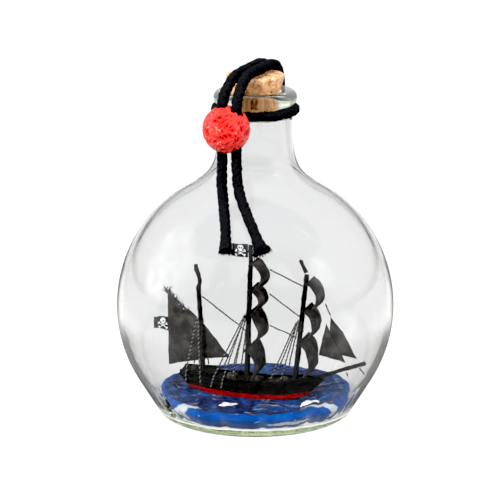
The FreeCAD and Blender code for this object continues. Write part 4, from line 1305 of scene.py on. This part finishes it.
def sea_mesh():
    """A putty sea pressed into the glass: dished top with waves, rolled rim and full sides."""
    rise = SEA_RIM_Z - SEA_MIDDLE_Z
    profile = [(r, SEA_MIDDLE_Z + rise * (r / 33.8) ** 2) for r in np.linspace(0.8, 33.2, SEA_DISH_ROWS)]
    profile += arc((SEA_RIM - 2.0, SEA_RIM_Z - 2.1), 2.0, 84, 0, 7)
    down = np.linspace(0.1, 1, 10)
    profile += [(SEA_RIM + (SEA_FOOT - SEA_RIM) * t, SEA_RIM_Z - 2.2 - 3.95 * t) for t in down]
    solid, faces = lathe([(0, 0), *profile, (0, SEA_UNDER_Z)], SEA_SEGMENTS)
    points = solid[:-2]
    is_top = np.arange(len(points)) < (SEA_DISH_ROWS + SEA_RIM_TOP_ROWS) * SEA_SEGMENTS
    swell = 0.55 * noise_at(points * (1, 1.8, 0), 9.0, 2.0)
    swell += 0.30 * noise_at(points * (1, 1.5, 0), 3.2, 5.0) + 0.10 * noise_at(points, 1.1, 6.0)
    ship = (points - SHIP_PLACE) @ np.stack([SHIP_AHEAD, SHIP_PORT], axis=1)
    beside = np.abs(ship[:, 1]) - np.interp(ship[:, 0], STATIONS[:, 0], STATIONS[:, 1])
    near = np.exp(-((beside - 0.8) ** 2) / 2.5) * (np.abs(ship[:, 0]) < 27)
    height = points[:, 2] + np.where(is_top, swell * (1 - 0.6 * near) - near, 0.0)
    back = np.clip((points[:, 1] - 2.0) / 26.0, 0, 1)
    height -= np.where(height > 4.2, 2.3 * back * (height - 4.2) / 5.2, 0.0)
    points[:, 2] = np.where(is_top, np.minimum(height, SEA_RIM_Z + 0.5), height)
    hollow = np.minimum(0.25 * noise_at(points, 5.0, 9.0), 0.0)
    points[:, :2] *= (1 + np.where(is_top, 0, hollow * 0.01))[:, None]
    solid[-2, 2] = points[:SEA_SEGMENTS, 2].mean()
    solid[:, 2] = np.maximum(solid[:, 2], SEA_UNDER_Z)
    return solid, faces


sea = new_piece("sea_putty", sea_mesh(), sea_look(33.4), "sea")
bpy.context.view_layer.update()


def sea_height(x, y):
    """The sea's top under a point, in millimetres."""
    hit, place, _, _ = sea.ray_cast(Vector((x, y, 30)) * MM, Vector((0, 0, -1)))
    return place.z / MM if hit else SEA_MIDDLE_Z


def foam_dab(centre, length, width, angle, seed):
    """A leaf-shaped dab of thick white paint that lies on the sea."""
    rows, columns = 14, 26
    c, s = math.cos(angle), math.sin(angle)
    lower, upper = [], []
    for v in np.linspace(-1, 1, rows):
        for u in np.linspace(-1, 1, columns):
            half = width / 2 * (1 - abs(u) ** 2.2) ** 0.8 * (1 + 0.18 * math.sin(5 * u + seed))
            px, py = u * length / 2, v * half + 0.25 * math.sin(2.2 * u + seed)
            x, y = centre[0] + px * c - py * s, centre[1] + px * s + py * c
            ground = sea_height(x, y)
            dome = 0.65 * (1 - v * v) * (1 - u * u) ** 0.5
            ridge = 0.12 * noise.noise(Vector((x, y, seed)) * 1.4)
            lower.append((x, y, ground - 0.25))
            upper.append((x, y, ground + 0.02 + dome * (1 + ridge)))
    return closed_sheet(lower, upper, grid_faces(rows, columns))


# centre, length, width, angle and seed
DABS = (
    ((-9.6, -17.4), 7.4, 2.9, 0.42, 1.0),
    ((19.2, -17.0), 7.0, 2.3, 0.34, 2.0),
    ((-20.5, 14.5), 6.0, 2.4, -0.5, 3.0),
    ((11.0, 17.5), 6.6, 2.4, -0.2, 4.0),
)
new_piece("sea_foam_dabs", joined([foam_dab(*dab) for dab in DABS]), white_paint)


# ---- room, light and camera

FLOOR_REACH, FLOOR_POINTS = 8.0, 24


def make_floor():
    """A pale studio floor."""
    at = np.linspace(-FLOOR_REACH, FLOOR_REACH, FLOOR_POINTS) / MM
    points = [(x, y, 0.0) for y in at for x in at]
    mesh = mesh_of("studio_floor", points, grid_faces(FLOOR_POINTS, FLOOR_POINTS))
    mesh.materials.append(floor_look())
    in_scene("studio_floor", mesh)


# where a soft light patch lies, the cosine of its edge's angle, and how bright it is
SOFT_PATCHES = (
    ((-0.88, 0.10, 0.46), 0.90, 1.5),
    ((-0.97, 0.12, 0.12), 0.97, 1.6),
    ((0.80, -0.35, 0.50), 0.975, 1.6),
)


def make_world():
    """A bright room behind and above, dark low down and in front, which draws the glass's edges."""
    world = bpy.data.worlds.new("studio")
    world.use_nodes = True
    nodes = Nodes(world.node_tree)
    direction = nodes.node("TexCoord", {}, "Generated")

    def level(factor, *stops):
        return nodes.ramp(factor, *((at, (v, v, v * 1.01, 1)) for at, v in stops))

    up = nodes.node("SeparateXYZ", {0: direction}, "Z")
    height = level(up, (0.0, 0.16), (0.03, 0.16), (0.09, 0.75), (0.5, 0.95), (1.0, 1.1))
    inputs = {0: nodes.node("SeparateXYZ", {0: direction}, "Y"), 1: 0.5, 2: 0.5}
    behind = nodes.node("Math", inputs, operation="MULTIPLY_ADD")
    facing = level(behind, (0.0, 0.06), (0.16, 0.10), (0.36, 0.85), (1.0, 1.0))
    light = nodes.mix(1.0, height, facing, "MULTIPLY")
    streaks = {"Vector": direction, "Scale": 7.0, "Detail": 4.0, "Distortion": 0.8}
    streaked = level(nodes.node("TexNoise", streaks), (0.30, 0.15), (0.70, 1.0))
    for patch, near, bright in SOFT_PATCHES:
        dot = nodes.vector("DOT_PRODUCT", direction, Vector(patch).normalized())
        glow = level(dot, (near, 0.0), (near + 0.5 * (1 - near), 0.7 * bright), (1.0, bright))
        light = nodes.mix(1.0, light, nodes.mix(1.0, glow, streaked, "MULTIPLY"), "ADD")
    nodes.put(world.node_tree.nodes["Background"].inputs["Color"], light)
    world.node_tree.nodes["Background"].inputs["Strength"].default_value = 1.0
    bpy.context.scene.world = world


def aimed(name, data, place, aim):
    """A light or camera that looks at a point."""
    made = in_scene(name, data)
    made.location = place
    made.rotation_mode = "QUATERNION"
    made.rotation_quaternion = (Vector(aim) - Vector(place)).to_track_quat("-Z", "Y")
    return made


LIT_POINT = (0, 0, 0.06)
# name, place, width, height and power
LIGHTS = (
    ("soft_key", (-0.65, -0.85, 0.75), 0.35, 0.9, 24.0),
    ("soft_fill", (0.95, -0.5, 0.6), 0.3, 0.6, 10.0),
    ("soft_top", (0.0, 0.1, 1.3), 0.9, 0.9, 3.5),
)

make_floor()
make_world()
for name, place, width, height, power in LIGHTS:
    light = bpy.data.lights.new(name, "AREA")
    light.shape = "RECTANGLE"
    light.size, light.size_y = width, height
    light.energy = power
    lamp = aimed(name, light, place, LIT_POINT)
    lamp.visible_glossy = False
    lamp.visible_transmission = False

TARGET = Vector((-0.0019, 0, 0.060))
DISTANCE, ELEVATION, FOCAL_LENGTH = 1.05, math.radians(14.5), 209.8
lens = bpy.data.cameras.new("camera")
lens.lens = FOCAL_LENGTH
lens.clip_end = 50
eye = TARGET + DISTANCE * Vector((0, -math.cos(ELEVATION), math.sin(ELEVATION)))
bpy.context.scene.camera = aimed("camera", lens, eye, TARGET)
BLACK_LEVEL = 0.03
view = bpy.context.scene.view_settings
view.view_transform = "Standard"
view.use_curve_mapping = True
view.curve_mapping.black_level = (BLACK_LEVEL, BLACK_LEVEL, BLACK_LEVEL)
view.curve_mapping.update()
